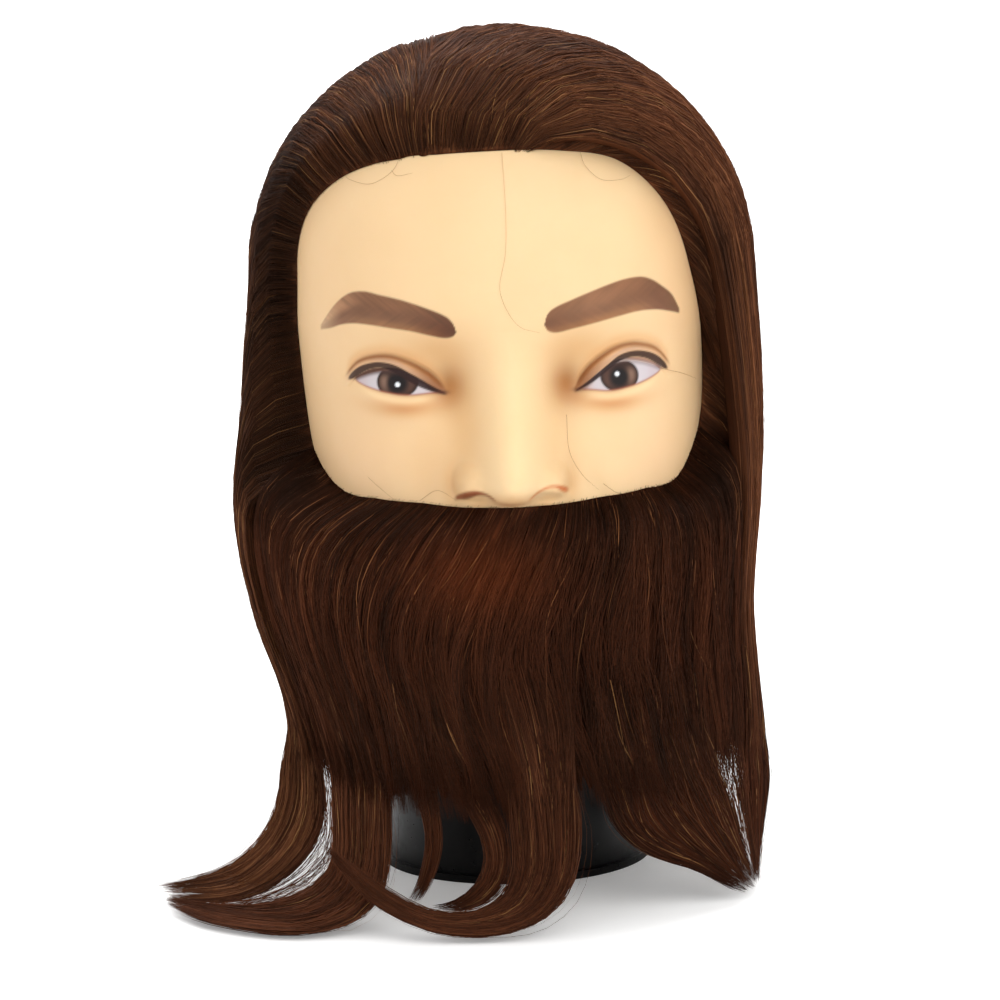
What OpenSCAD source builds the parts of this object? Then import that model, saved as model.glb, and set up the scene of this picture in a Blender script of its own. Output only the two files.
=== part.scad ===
// Bearded training head for barber practice.
// A hollow vinyl head with a foam filling stands on a black plastic base. The hair and
// the beard are rooted through the vinyl zone by zone, and each zone is its own node.
// Frame: millimetres, +Z up, the face looks along -Y, +X is the viewer's right.
// The origin is the centre of the base's underside, on the table.

/* [Head] */
// Height of the bare scalp above the table
head_top = 288; // [270:1:305]
// Breadth of the skull above the ears
head_w = 154; // [140:1:170]
// Length of the skull from brow to back
head_l = 196; // [180:1:215]
// Thickness of the vinyl skin
skin = 3.5; // [2.5:0.5:5]

/* [Hair] */
// Depth of the combed hair over the scalp
hair_depth = 13; // [8:1:20]
// Height of the hairline over the forehead
hairline_z = 249; // [240:1:256]
// Height of the beard's upper edge under the nose
beard_z = 134; // [128:1:140]

/* [Base] */
// Height of the black base
base_h = 37; // [30:1:50]
// Radius of the base's wall, the same as the neck's
base_r = 47; // [44:0.5:52]
// Radius of the foot rim
rim_r = 49.5; // [48:0.5:54]
// Radius of the clamp socket's bore
socket_r = 12.5; // [11:0.5:13.5]
// Depth of the clamp socket's bore
socket_depth = 95; // [60:1:110]
// Radius of the circle of screws
screw_circle_r = 30; // [27:0.5:32]

/* [Hidden] */

// Above dome_z the skull is half an ellipsoid.
dome_z = 215;
rim_h = 2.5;
wall = 2.6;
deck_t = 4;
lip_t = 3;
lip_in_r = base_r - 10;
neck_r = base_r + 3;
insert_t = 10;
tube_t = 3.5;
tube_r = socket_r + tube_t;
collar_r = 22;
fit_gap = 0.2;
// Gap that keeps one hair zone clear of the next.
zone_gap = 0.6;
screw_count = 4;
screw_r = 2;
screw_head_r = 4;
screw_head_h = 2.4;
rib_count = 8;
rib_t = 1.8;
// Exponent that makes a cross-section a little squarer than an ellipse.
squareness = 0.92;
vinyl = [0.93, 0.78, 0.58];
hair_brown = [0.16, 0.085, 0.055];
beard_brown = [0.19, 0.09, 0.055];
black_plastic = [0.04, 0.04, 0.045];
clear_glue = [0.86, 0.84, 0.78];

// Each row is the height as a share of the way from the neck's end to dome_z, then the
// front and back reach as shares of head_l, then the half width as a share of head_w.
HEAD = [
  [0.000, base_r / head_l, base_r / head_l, base_r / head_w],
  [0.120, neck_r / head_l, neck_r / head_l, neck_r / head_w],
  [0.190, 0.400, 0.272, 0.345],
  [0.245, 0.470, 0.290, 0.375],
  [0.345, 0.464, 0.337, 0.409],
  [0.440, 0.478, 0.388, 0.435],
  [0.545, 0.470, 0.439, 0.455],
  [0.690, 0.459, 0.490, 0.477],
  [0.830, 0.464, 0.515, 0.494],
  [0.905, 0.480, 0.520, 0.500],
  [1.000, 0.480, 0.515, 0.500]
];
// The hair's outer envelope: height over the table, then front, back, left and right
// reach, each as a distance beyond the skull's own front, back and half width at dome_z.
ENVELOPE = [
  [5, 24, 10, 4, 10],
  [40, 17, 11, 3, 14],
  [65, 16, 12, 7, 13],
  [93, 15, 13, 16, 11],
  [130, 9, 15, 22, 14.5],
  [165, 6, 16, 18.5, 16.5],
  [dome_z, hair_depth - 4, hair_depth, hair_depth + 0.5, hair_depth + 1]
];

function clamp01(t) = min(max(t, 0), 1);
function bell(v, width) = exp(-pow(v / width, 2));
function smooth(t) = let (c = clamp01(t)) c * c * (3 - 2 * c);
function power(v, e) = sign(v) * pow(abs(v), e);

// Smooth value of column k of table rows at height z.
function row_of(rows, z, i = 0) =
  i >= len(rows) - 2 || z < rows[i + 1][0] ? i : row_of(rows, z, i + 1);
function slope(rows, i, k) =
  let (lo = max(i - 1, 0), hi = min(i + 1, len(rows) - 1))
  (rows[hi][k] - rows[lo][k]) / (rows[hi][0] - rows[lo][0]);
function value_at(rows, z, k) =
  let (
    i = row_of(rows, z),
    h = rows[i + 1][0] - rows[i][0],
    t = clamp01((z - rows[i][0]) / h),
    t2 = t * t,
    t3 = t2 * t
  )
  (2 * t3 - 3 * t2 + 1) * rows[i][k] + (t3 - 2 * t2 + t) * h * slope(rows, i, k)
  + (3 * t2 - 2 * t3) * rows[i + 1][k] + (t3 - t2) * h * slope(rows, i + 1, k);

// How much of its full section the dome keeps at height z, when its top is at top.
function dome(z, top) =
  z <= dome_z ? 1 : sqrt(max(0, 1 - pow((z - dome_z) / (top - dome_z), 2)));
function section_point(a, z, front, back, half) = [
  half * power(sin(a), squareness),
  -(cos(a) > 0 ? front : back) * power(cos(a), squareness),
  z
];

// Nose, brow, eye sockets, lips and chin, as reach beyond the plain skull.
function face_relief(x, z) =
  let (nose_run = smooth((194 - z) / 48) * smooth((z - beard_z) / 7))
  22 * nose_run * bell(x, 9 + 6 * smooth((158 - z) / 18))
  + 2.5 * bell(z - 202, 9) * bell(abs(x) - 22, 22)
  - 5 * bell(z - 180, 12) * bell(abs(x) - 30, 17)
  + 1.5 * bell(z - 117, 7) * bell(x, 22)
  + 3 * bell(z - 85, 10) * bell(x, 20);
// Ears, as reach beyond the plain skull on each side.
function ear_relief(y, z) = 6 * bell(z - 165, 22) * bell(y - 8, 13);

// A point of the skull at angle a from the face, g outside the vinyl's surface.
function head_point(a, z, g = 0, relief = 0) =
  let (
    share = (z - base_h) / (dome_z - base_h),
    s = dome(z, head_top + g),
    p = section_point(
      a, z,
      (value_at(HEAD, share, 1) * head_l + g) * s,
      (value_at(HEAD, share, 2) * head_l + g) * s,
      (value_at(HEAD, share, 3) * head_w + g) * s
    )
  )
  p + relief * [
    sign(sin(a)) * ear_relief(p[1], z) * smooth(abs(sin(a)) * 3 - 2),
    -face_relief(p[0], z) * smooth(cos(a) * 2),
    0
  ];

// A point of the hair at angle a; depth is 1 on the outside of the hair and 0 inside it.
function hair_point(a, z, depth) =
  let (
    at_dome = value_at(HEAD, 1, 1) * head_l,
    side = sin(a) < 0 ? 3 : 4,
    s = dome(z, head_top + hair_depth),
    outer = [
      (at_dome + value_at(ENVELOPE, z, 1)) * s,
      (value_at(HEAD, 1, 2) * head_l + value_at(ENVELOPE, z, 2)) * s,
      (head_w / 2 + value_at(ENVELOPE, z, side)) * s
    ],
    share = (z - base_h) / (dome_z - base_h),
    bare = dome(z, head_top + 1),
    inner = [for (k = [0:2])
      max(
        (value_at(HEAD, share, k + 1) * (k == 2 ? head_w : head_l) + 2.2) * bare,
        outer[k] - hair_depth - 3 * (1 - bare)
      )],
    p = inner + (outer - inner) * depth
  )
  section_point(a, z, p[0], p[1], p[2]);

// Faces of two matching grids of rows by cols points, joined round their edges.
function slab_faces(rows, cols) =
  let (n = rows * cols)
  concat(
    [for (r = [0:rows - 2]) for (c = [0:cols - 2]) for (f = [
      [r * cols + c, r * cols + c + 1, (r + 1) * cols + c + 1],
      [r * cols + c, (r + 1) * cols + c + 1, (r + 1) * cols + c],
      [n + r * cols + c, n + (r + 1) * cols + c + 1, n + r * cols + c + 1],
      [n + r * cols + c, n + (r + 1) * cols + c, n + (r + 1) * cols + c + 1]
    ]) f],
    [for (c = [0:cols - 2]) for (f = [
      [c, n + c, n + c + 1],
      [c, n + c + 1, c + 1],
      [(rows - 1) * cols + c, (rows - 1) * cols + c + 1, n + (rows - 1) * cols + c + 1],
      [(rows - 1) * cols + c, n + (rows - 1) * cols + c + 1, n + (rows - 1) * cols + c]
    ]) f],
    [for (r = [0:rows - 2]) for (f = [
      [r * cols, (r + 1) * cols, n + (r + 1) * cols],
      [r * cols, n + (r + 1) * cols, n + r * cols],
      [r * cols + cols - 1, n + r * cols + cols - 1, n + (r + 1) * cols + cols - 1],
      [r * cols + cols - 1, n + (r + 1) * cols + cols - 1, (r + 1) * cols + cols - 1]
    ]) f]
  );

// Heights from z0 to z1, set closer together as the dome flattens towards its top.
function heights(z0, z1, rows) =
  let (
    reach = head_top + hair_depth - dome_z,
    turn = function (z) z <= dome_z ? (z - dome_z) / reach : asin((z - dome_z) / reach) * PI / 180,
    back = function (t) t <= 0 ? dome_z + t * reach : dome_z + reach * sin(t * 180 / PI)
  )
  [for (r = [0:rows - 1]) back(turn(z0) + (turn(z1) - turn(z0)) * r / (rows - 1))];

// A zone of hair between angles a0 and a1. Its lower and upper edges are functions of
// the angle, so a zone can follow the hairline or the beard's edge.
module hair_zone(a0, a1, low, high, rows = 9, cols = 9) {
  angles = [for (c = [0:cols - 1]) a0 + (a1 - a0) * c / (cols - 1)];
  columns = [for (a = angles) heights(low(a), high(a), rows)];
  polyhedron(
    points = [for (depth = [1, 0]) for (r = [0:rows - 1]) for (c = [0:cols - 1])
      hair_point(angles[c], columns[c][r], depth)],
    faces = [for (f = slab_faces(rows, cols)) [f[0], f[2], f[1]]]
  );
}

// A film inside the vinyl between angles a0 and a1 and heights z0 and z1.
module glue_zone(a0, a1, z0, z1, rows, cols) {
  glue_in = -skin - fit_gap;
  glue_t = 0.8;
  zs = [for (r = [0:rows - 1]) z0 + (z1 - z0) * sin(90 * r / (rows - 1))];
  angles = [for (c = [0:cols - 1]) a0 + (a1 - a0) * c / (cols - 1)];
  polyhedron(
    points = [for (g = [glue_in, glue_in - glue_t]) for (z = zs) for (a = angles)
      head_point(a, z, g)],
    faces = [for (f = slab_faces(rows, cols)) [f[0], f[2], f[1]]]
  );
}

// Ring heights of a head-shaped body that starts at z0 and tops out at top.
function ring_heights(z0, top, straight, curved) = concat(
  [for (i = [0:straight]) z0 + (dome_z - z0) * i / straight],
  [for (j = [1:curved - 1]) dome_z + (top - dome_z) * sin(90 * j / curved)]
);
// Angles of a ring's points, crowded towards the face.
function ring_angles(cols) = [for (c = [0:cols - 1])
  let (t = 360 * c / cols) t - 28 * sin(t)];
function tube_faces(first, rings, cols, outward) = [
  for (r = [0:rings - 2]) for (c = [0:cols - 1])
    let (
      p = first + r * cols + c,
      q = first + r * cols + (c + 1) % cols,
      f = outward ? [[p, p + cols, q + cols], [p, q + cols, q]]
        : [[p, q + cols, p + cols], [p, q, q + cols]]
    )
    each f
];
function pole_faces(first, pole, cols, outward) = [
  for (c = [0:cols - 1]) let (p = first + c, q = first + (c + 1) % cols)
    outward ? [p, pole, q] : [p, q, pole]
];

module head_shell() {
  cols = 56;
  outer_z = ring_heights(base_h, head_top, 34, 10);
  inner_z = ring_heights(base_h + lip_t, head_top - skin, 34, 10);
  angles = ring_angles(cols);
  outer = [for (z = outer_z) for (a = angles) head_point(a, z, 0, 1)];
  inner = [for (z = inner_z) for (a = angles) head_point(a, z, -skin)];
  lip = [for (z = [base_h + lip_t, base_h]) for (a = angles)
    [lip_in_r * sin(a), -lip_in_r * cos(a), z]];
  n = len(outer);
  m = len(inner);
  color(vinyl)
    polyhedron(
      points = concat(outer, [[0, 0, head_top]], inner, [[0, 0, head_top - skin]], lip),
      faces = concat(
        tube_faces(0, len(outer_z), cols, true),
        pole_faces(n - cols, n, cols, true),
        tube_faces(n + 1, len(inner_z), cols, false),
        pole_faces(n + 1 + m - cols, n + 1 + m, cols, false),
        // Top of the lip, its inner edge, then its underside.
        [for (c = [0:cols - 1]) let (
          p = n + 1 + c, q = n + 1 + (c + 1) % cols,
          s = n + m + 2 + c, t = n + m + 2 + (c + 1) % cols
        ) each [[p, t, q], [p, s, t], [s, s + cols, t + cols], [s, t + cols, t]]],
        [for (c = [0:cols - 1]) let (
          s = n + m + 2 + cols + c, t = n + m + 2 + cols + (c + 1) % cols,
          p = c, q = (c + 1) % cols
        ) each [[p, q, t], [p, t, s]]]
      )
    );
}

module foam_core() {
  cols = 28;
  foam_z = base_h + lip_t + insert_t + 2;
  foam_inset = -skin - 1.6;
  zs = ring_heights(foam_z, head_top + foam_inset, 14, 6);
  n = len(zs) * cols;
  color([0.9, 0.87, 0.78])
    difference() {
      polyhedron(
        points = concat(
          [for (z = zs) for (a = ring_angles(cols)) head_point(a, z, foam_inset)],
          [[0, 0, head_top + foam_inset]]
        ),
        faces = concat(
          tube_faces(0, len(zs), cols, true),
          pole_faces(n - cols, n, cols, true),
          [[for (c = [0:cols - 1]) c]]
        )
      );
      translate([0, 0, foam_z - 1])
        cylinder(h = socket_depth + tube_t + 3 - foam_z, r = tube_r + 0.5, $fn = 72);
    }
}

module scalp_root_glue() {
  color(clear_glue) glue_zone(68, 292, 100, 272, 14, 22);
}

module beard_root_glue() {
  color(clear_glue) glue_zone(-62, 62, 84, beard_z - 2, 7, 14);
}

// The black base: foot rim, wall, deck, hub for the socket and the ribs under the deck.
module neck_base() {
  deck_z = base_h - deck_t;
  hub_r = tube_r + 2.8;
  color(black_plastic)
    difference() {
      union() {
        cylinder(h = rim_h, r = rim_r, $fn = 120);
        cylinder(h = base_h, r = base_r, $fn = 120);
        cylinder(h = base_h + lip_t, r = lip_in_r - fit_gap, $fn = 120);
      }
      difference() {
        translate([0, 0, -1])
          cylinder(h = deck_z + 1, r = base_r - wall, $fn = 120);
        cylinder(h = deck_z, r = hub_r, $fn = 96);
        for (i = [0:rib_count - 1])
          rotate([0, 0, (i + 0.5) * 360 / rib_count])
            translate([hub_r - 1, -rib_t / 2, rim_h])
              cube([base_r - hub_r, rib_t, deck_z - rim_h]);
      }
      translate([0, 0, -1])
        cylinder(h = base_h + lip_t + 2, r = tube_r + fit_gap, $fn = 96);
      for (i = [0:screw_count - 1])
        rotate([0, 0, i * 360 / screw_count])
          translate([screw_circle_r, 0, deck_z - 1])
            cylinder(h = deck_t + lip_t + 2, r = screw_r + 0.3, $fn = 36);
    }
}

// Tube that takes the post of a table clamp, with the collar that seats it on the deck.
module clamp_socket() {
  collar_z = base_h + lip_t;
  color([0.1, 0.1, 0.11])
    difference() {
      union() {
        cylinder(h = socket_depth + tube_t, r = tube_r, $fn = 96);
        translate([0, 0, collar_z + fit_gap / 2])
          cylinder(h = 3, r = collar_r, $fn = 96);
      }
      translate([0, 0, -1])
        cylinder(h = socket_depth + 1, r = socket_r, $fn = 96);
    }
}

// Ring inside the neck. The screws pull it down on the vinyl's lip and the socket's collar.
module neck_insert() {
  ring_z = base_h + lip_t + 0.1;
  ring_r = base_r - skin - 0.6;
  pilot_r = screw_r + 0.02;
  color([0.75, 0.74, 0.7])
    difference() {
      translate([0, 0, ring_z])
        cylinder(h = insert_t, r = ring_r, $fn = 120);
      translate([0, 0, ring_z - 1])
        cylinder(h = insert_t + 2, r = tube_r + 0.3, $fn = 96);
      translate([0, 0, ring_z - 1])
        cylinder(h = 1 + 3.3, r = collar_r + 0.3, $fn = 96);
      for (i = [0:screw_count - 1])
        rotate([0, 0, i * 360 / screw_count])
          translate([screw_circle_r, 0, ring_z - 1])
            cylinder(h = insert_t, r = pilot_r, $fn = 36);
    }
}

module base_screws() {
  deck_z = base_h - deck_t;
  screw_l = deck_t + lip_t + 7;
  color([0.7, 0.7, 0.72])
    for (i = [0:screw_count - 1])
      rotate([0, 0, i * 360 / screw_count])
        translate([screw_circle_r, 0, deck_z])
          difference() {
            union() {
              translate([0, 0, -screw_head_h - 0.05])
                cylinder(h = screw_head_h, r = screw_head_r, $fn = 36);
              translate([0, 0, -0.1])
                cylinder(h = screw_l, r = screw_r, $fn = 36);
            }
            // Cross recess in the head.
            for (turn = [0, 90])
              rotate([0, 0, turn])
                translate([-2.2, -0.45, -screw_head_h - 1])
                  cube([4.4, 0.9, 2.2]);
          }
}

// The parting runs back from the forehead, and the top hair falls away on both sides.
part_a = 4;
temple_a = 60;
side_a = 118;
side_top_z = hairline_z - 14;
crown_z = head_top + hair_depth - 0.2;
temple_z = 190;
nape_z = 140;
left_end_z = 22;
right_end_z = 8;

// Edges that the hair zones share, as functions of the angle from the face.
hairline = function (a) hairline_z - 14 * smooth((abs(a) - 12) / 34);
beard_line = function (a)
  beard_z + 5 * smooth((abs(a) - 8) / 14) + 12 * smooth((abs(a) - 36) / 22);
function level(z) = function (a) z;

module hair_top_left() {
  color(hair_brown)
    hair_zone(-90, part_a - zone_gap, hairline, level(crown_z), 11, 12);
}

module hair_top_right() {
  color(hair_brown)
    hair_zone(part_a + zone_gap, 90, hairline, level(crown_z), 11, 12);
}

module hair_crown() {
  color(hair_brown)
    hair_zone(91, 269, level(side_top_z), level(crown_z), 10, 20);
}

module hair_temple_left() {
  color(hair_brown)
    hair_zone(-side_a, -temple_a, level(temple_z + zone_gap), level(side_top_z - zone_gap), 6, 9);
}

module hair_temple_right() {
  color(hair_brown)
    hair_zone(temple_a, side_a, level(temple_z + zone_gap), level(side_top_z - zone_gap), 6, 9);
}

module hair_side_left() {
  color(hair_brown)
    hair_zone(-side_a, -temple_a, level(left_end_z), level(temple_z), 14, 9);
}

module hair_side_right() {
  color(hair_brown)
    hair_zone(temple_a, side_a, level(right_end_z), level(temple_z), 14, 9);
}

module hair_back() {
  color(hair_brown)
    hair_zone(side_a + 1, 359 - side_a, level(nape_z), level(side_top_z - zone_gap), 9, 16);
}

module hair_nape() {
  color(hair_brown)
    hair_zone(side_a + 1, 359 - side_a, level(right_end_z), level(nape_z - zone_gap), 9, 16);
}

// Beard zones. The curtain hangs in front of the mouth, the chin and the base.
cheek_a = 26;
beard_a = temple_a - 1;
moustache_z = 108;
fringe_z = 52;
fringe_end_z = 20;

module beard_moustache() {
  color(beard_brown)
    hair_zone(-cheek_a, cheek_a, level(moustache_z + zone_gap), beard_line, 5, 9);
}

module beard_cheek_left() {
  color(beard_brown)
    hair_zone(-beard_a, -cheek_a - 1, level(fringe_z + zone_gap), beard_line, 10, 7);
}

module beard_cheek_right() {
  color(beard_brown)
    hair_zone(cheek_a + 1, beard_a, level(fringe_z + zone_gap), beard_line, 10, 7);
}

module beard_chin() {
  color(beard_brown)
    hair_zone(-cheek_a, cheek_a, level(fringe_z + zone_gap), level(moustache_z), 7, 9);
}

module beard_fringe() {
  color(beard_brown)
    hair_zone(-beard_a, beard_a, level(fringe_end_z), level(fringe_z), 5, 18);
}

// Point t of the way along a curve with four control points, and its direction.
function curve(p, t) =
  pow(1 - t, 3) * p[0] + 3 * t * pow(1 - t, 2) * p[1]
  + 3 * t * t * (1 - t) * p[2] + pow(t, 3) * p[3];
function heading(p, t) =
  let (d = curve(p, min(t + 0.01, 1)) - curve(p, max(t - 0.01, 0))) d / norm(d);

// A lock of hair along a curve: thick in the middle, fine at its tip, and flat in section.
module lock(p, r, flat, steps = 14, sides = 10) {
  rings = [for (i = [0:steps - 1])
    let (
      t = i / (steps - 1),
      d = heading(p, t),
      across = cross(d, [0, 0, 1]) / max(norm(cross(d, [0, 0, 1])), 0.01),
      up = cross(across, d),
      w = r * (0.55 + 0.45 * sin(180 * min(t * 1.4, 1))) * (1 - 0.8 * pow(t, 3))
    )
    for (s = [0:sides - 1])
      curve(p, t) + w * (cos(360 * s / sides) * across + flat * sin(360 * s / sides) * up)];
  polyhedron(
    points = rings,
    faces = concat(
      [for (f = tube_faces(0, steps, sides, true)) f],
      [[for (s = [0:sides - 1]) s]],
      [[for (s = [0:sides - 1]) (steps - 1) * sides + sides - 1 - s]]
    )
  );
}

module lock_sweep_left() {
  color(hair_brown)
    lock([[-58, -84, 18], [-60, -92, 0], [-86, -90, 9], [-122, -64, 7]], 12, 0.5);
}

module lock_curl_front() {
  color(beard_brown)
    lock([[12, -108, 20], [18, -118, -2], [-24, -124, 6], [-62, -106, 20]], 13, 0.5);
}

module lock_curl_right() {
  color(hair_brown)
    lock([[75, -60, 9], [79, -67, 8], [81, -76, 7], [82, -86, 5]], 8, 0.6, 8, 10);
}

head_shell();
foam_core();
scalp_root_glue();
beard_root_glue();
neck_base();
clamp_socket();
neck_insert();
base_screws();
hair_top_left();
hair_top_right();
hair_crown();
hair_temple_left();
hair_temple_right();
hair_side_left();
hair_side_right();
hair_back();
hair_nape();
beard_moustache();
beard_cheek_left();
beard_cheek_right();
beard_chin();
beard_fringe();
lock_sweep_left();
lock_curl_front();
lock_curl_right();
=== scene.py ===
"""Looks of the bearded training head: vinyl face, painted brows and eyes, combed hair, black base."""

import math

import bpy
import numpy as np
from mathutils import Matrix, Vector


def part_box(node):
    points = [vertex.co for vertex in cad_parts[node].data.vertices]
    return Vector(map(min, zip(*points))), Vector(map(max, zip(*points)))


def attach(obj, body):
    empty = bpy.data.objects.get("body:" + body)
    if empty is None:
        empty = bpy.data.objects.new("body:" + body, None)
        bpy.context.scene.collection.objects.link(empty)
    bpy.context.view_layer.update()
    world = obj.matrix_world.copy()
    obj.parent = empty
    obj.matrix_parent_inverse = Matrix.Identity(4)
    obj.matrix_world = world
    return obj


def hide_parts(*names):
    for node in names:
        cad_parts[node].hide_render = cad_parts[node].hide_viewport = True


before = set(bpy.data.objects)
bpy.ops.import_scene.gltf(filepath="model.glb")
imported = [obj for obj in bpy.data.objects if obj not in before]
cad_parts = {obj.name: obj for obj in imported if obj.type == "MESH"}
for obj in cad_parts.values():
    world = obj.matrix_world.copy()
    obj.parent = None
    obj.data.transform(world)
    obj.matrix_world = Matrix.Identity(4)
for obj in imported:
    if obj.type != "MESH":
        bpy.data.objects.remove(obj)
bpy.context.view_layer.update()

# ---------------------------------------------------------------- sizes, in millimetres
MM = 0.001
FULL_TURN = 2 * math.pi
head_low, head_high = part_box("head_shell")
base_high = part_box("neck_base")[1]
crown_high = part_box("hair_crown")[1]
NECK_Z = head_low.z / MM
HEAD_TOP = head_high.z / MM
# The head's length and width follow from how far the shell reaches back.
BACK_SHARE = 0.52
WIDTH_SHARE = 0.786
HEAD_L = head_high.y / MM / BACK_SHARE
HEAD_W = HEAD_L * WIDTH_SHARE
# The base's foot rim stands this far out from its wall.
RIM_LEDGE = 2.5
BASE_R = base_high.x / MM - RIM_LEDGE
HAIR_TOP = crown_high.z / MM
# The skull is a dome above DOME_Z. SQUARENESS below 1 makes its outline fuller than an ellipse.
DOME_Z = 215.0
SKIN = 3.5
SQUARENESS = 0.92

# Height as a share of the way from the neck's end to DOME_Z, then the front and back
# reach as shares of HEAD_L and the half width as a share of HEAD_W.
HEAD = np.array([
    [0.000, BASE_R / HEAD_L, BASE_R / HEAD_L, BASE_R / HEAD_W],
    [0.120, (BASE_R + 3) / HEAD_L, (BASE_R + 3) / HEAD_L, (BASE_R + 3) / HEAD_W],
    [0.190, 0.400, 0.272, 0.345],
    [0.245, 0.470, 0.290, 0.375],
    [0.345, 0.464, 0.337, 0.409],
    [0.440, 0.478, 0.388, 0.435],
    [0.545, 0.470, 0.439, 0.455],
    [0.690, 0.459, 0.490, 0.477],
    [0.830, 0.464, 0.515, 0.494],
    [0.905, 0.480, 0.520, 0.500],
    [1.000, 0.480, 0.515, 0.500],
])
# The hair's outer surface: height, then how far it reaches beyond the skull's widest
# outline to the front, back, left and right.
ENVELOPE = np.array([
    [5, 24, 10, 4, 10],
    [40, 17, 11, 3, 14],
    [65, 16, 12, 7, 13],
    [93, 15, 13, 16, 11],
    [130, 13, 15, 22, 14.5],
    [165, 6, 16, 18.5, 16.5],
    [DOME_Z, 9, 13, 13.5, 14],
])


# ---------------------------------------------------------------- small maths
def smooth(t):
    """Eased step from 0 to 1 as t goes from 0 to 1."""
    t = np.clip(t, 0, 1)
    return t * t * (3 - 2 * t)


def bell(v, width):
    """Soft bump of height 1 around v = 0."""
    return np.exp(-((v / width) ** 2))


def power(v, exponent):
    """A power that keeps the sign."""
    return np.sign(v) * np.abs(v) ** exponent


def profile(rows, z, column):
    """Smooth value of a column of rows at z."""
    knots, values = rows[:, 0], rows[:, column]
    last = len(knots) - 1
    ahead = np.minimum(np.arange(last + 1) + 1, last)
    behind = np.maximum(np.arange(last + 1) - 1, 0)
    slopes = (values[ahead] - values[behind]) / (knots[ahead] - knots[behind])
    i = np.clip(np.searchsorted(knots, z, side="right") - 1, 0, last - 1)
    h = knots[i + 1] - knots[i]
    t = np.clip((z - knots[i]) / h, 0, 1)
    start = (2 * t**3 - 3 * t**2 + 1) * values[i] + (t**3 - 2 * t**2 + t) * h * slopes[i]
    end = (3 * t**2 - 2 * t**3) * values[i + 1] + (t**3 - t**2) * h * slopes[i + 1]
    return start + end


def through(points, x):
    """Smooth curve through a few (x, z) points."""
    rows = np.asarray(points, float)
    return profile(rows, x, 1)


def linear(colour):
    """Linear value of a colour given in 0-255 display values."""
    c = np.asarray(colour, float) / 255
    return np.where(c <= 0.04045, c / 12.92, ((c + 0.055) / 1.055) ** 2.4)


def blend(base, colour, mask):
    """Linear colours moved towards a linear colour where the mask is above 0."""
    return base + (np.asarray(colour) - base) * mask[..., None]


def wash(base, shade, mask):
    """Colours moved towards a shade given in 0-255 display values."""
    return blend(base, linear(shade), mask)


# ---------------------------------------------------------------- head surface
def dome(z, top):
    """Share of the full outline at height z: 1 up to DOME_Z, then less, to 0 at the top."""
    inside = 1 - (np.maximum(z - DOME_Z, 0) / (top - DOME_Z)) ** 2
    return np.sqrt(np.maximum(inside, 0))


def skull_reach(z):
    """The skull's reach to the front and the back and its half width at height z."""
    share = (z - NECK_Z) / (DOME_Z - NECK_Z)
    front = profile(HEAD, share, 1) * HEAD_L
    back = profile(HEAD, share, 2) * HEAD_L
    half = profile(HEAD, share, 3) * HEAD_W
    return front, back, half


def skull_point(a, z, grow=0.0):
    """Point of the plain skull at angle a from the face, moved out by grow."""
    front, back, half = skull_reach(z)
    s = dome(z, HEAD_TOP + grow)
    depth = np.where(np.cos(a) > 0, front, back)
    x = (half + grow) * s * power(np.sin(a), SQUARENESS)
    y = -(depth + grow) * s * power(np.cos(a), SQUARENESS)
    return x, y


# The eyes. Curves over |x|, from the inner corner outwards.
EYE_X, EYE_Z = 36.5, 176.8
LEFT_STRETCH_IN, LEFT_STRETCH_OUT = 0.905, 1.05
LID_AXIS = 174.5
LINER_TOP = [(21.5, 172.3), (26, 175.6), (31, 179.3), (36.4, 183.4), (41.7, 184.8), (46, 184.4),
             (49.8, 182.9), (53.6, 179.6)]
LINER_LOW = [(21.5, 171.9), (27, 174.8), (31, 177.6), (34.2, 180.0), (37.4, 181.9), (41.7, 182.8),
             (46, 182.0), (49.8, 179.8), (53.6, 177.4)]
LID_UP = [(21.5, 171.9), (25.3, 173.7), (29, 177.0), (34.3, 180.6), (38, 181.6), (43.2, 181.2),
          (48.3, 179.7), (51.0, 178.2), (53.6, 175.0)]
LID_LOW = [(21.5, 172.4), (25.8, 172.7), (33.5, 172.1), (40.4, 173.3), (45, 174.8), (48.5, 176.4),
           (51.0, 178.2), (53.6, 181.5)]
CREASE = [(21.5, 173.0), (23.5, 176.6), (27, 180.6), (33.9, 185.2), (39.1, 186.9), (44.5, 186.8),
          (49.9, 184.9), (54.5, 180.0)]
LEFT_LID_OPEN = 0.86
# The brows' upper and lower outlines: -1 is the left brow and 1 the right.
BROW_TOP = {
    -1: [(16.3, 192.5), (17.3, 195.2), (19.6, 197.6), (26, 200.5), (33.5, 203.2), (41, 205.2),
         (46, 206.5), (50.5, 206.3), (54, 204.6), (57.5, 201.4), (61.8, 195.9)],
    1: [(11.8, 194), (12.8, 197.2), (15.2, 199.4), (21, 201.9), (26.1, 203.9), (33.8, 206.7),
        (39, 208.2), (44.3, 208.8), (48, 207.9), (51.4, 205.9), (55.3, 202.8), (58, 198.2)],
}
BROW_LOW = {
    -1: [(16.3, 192.5), (17.4, 191.2), (20, 190.7), (24, 191.4), (31.3, 193.2), (38.8, 194.5),
         (44.9, 195.6), (50.2, 196.2), (54.4, 195.9), (58, 194.9), (61.8, 194.4)],
    1: [(11.8, 194), (13, 192.2), (15.8, 191.5), (20.8, 192.5), (28.4, 194.2), (36.1, 196.1),
        (43, 197.6), (49.5, 198.0), (54.5, 197.3), (58, 196.6)],
}


def along_eye(x):
    """Distance along the eye from the nose; the left eye's inner corner reaches further in."""
    ax = np.abs(x)
    left = EYE_X + (ax - EYE_X) * np.where(ax < EYE_X, LEFT_STRETCH_IN, LEFT_STRETCH_OUT)
    return np.where(x < 0, left, ax)


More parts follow.
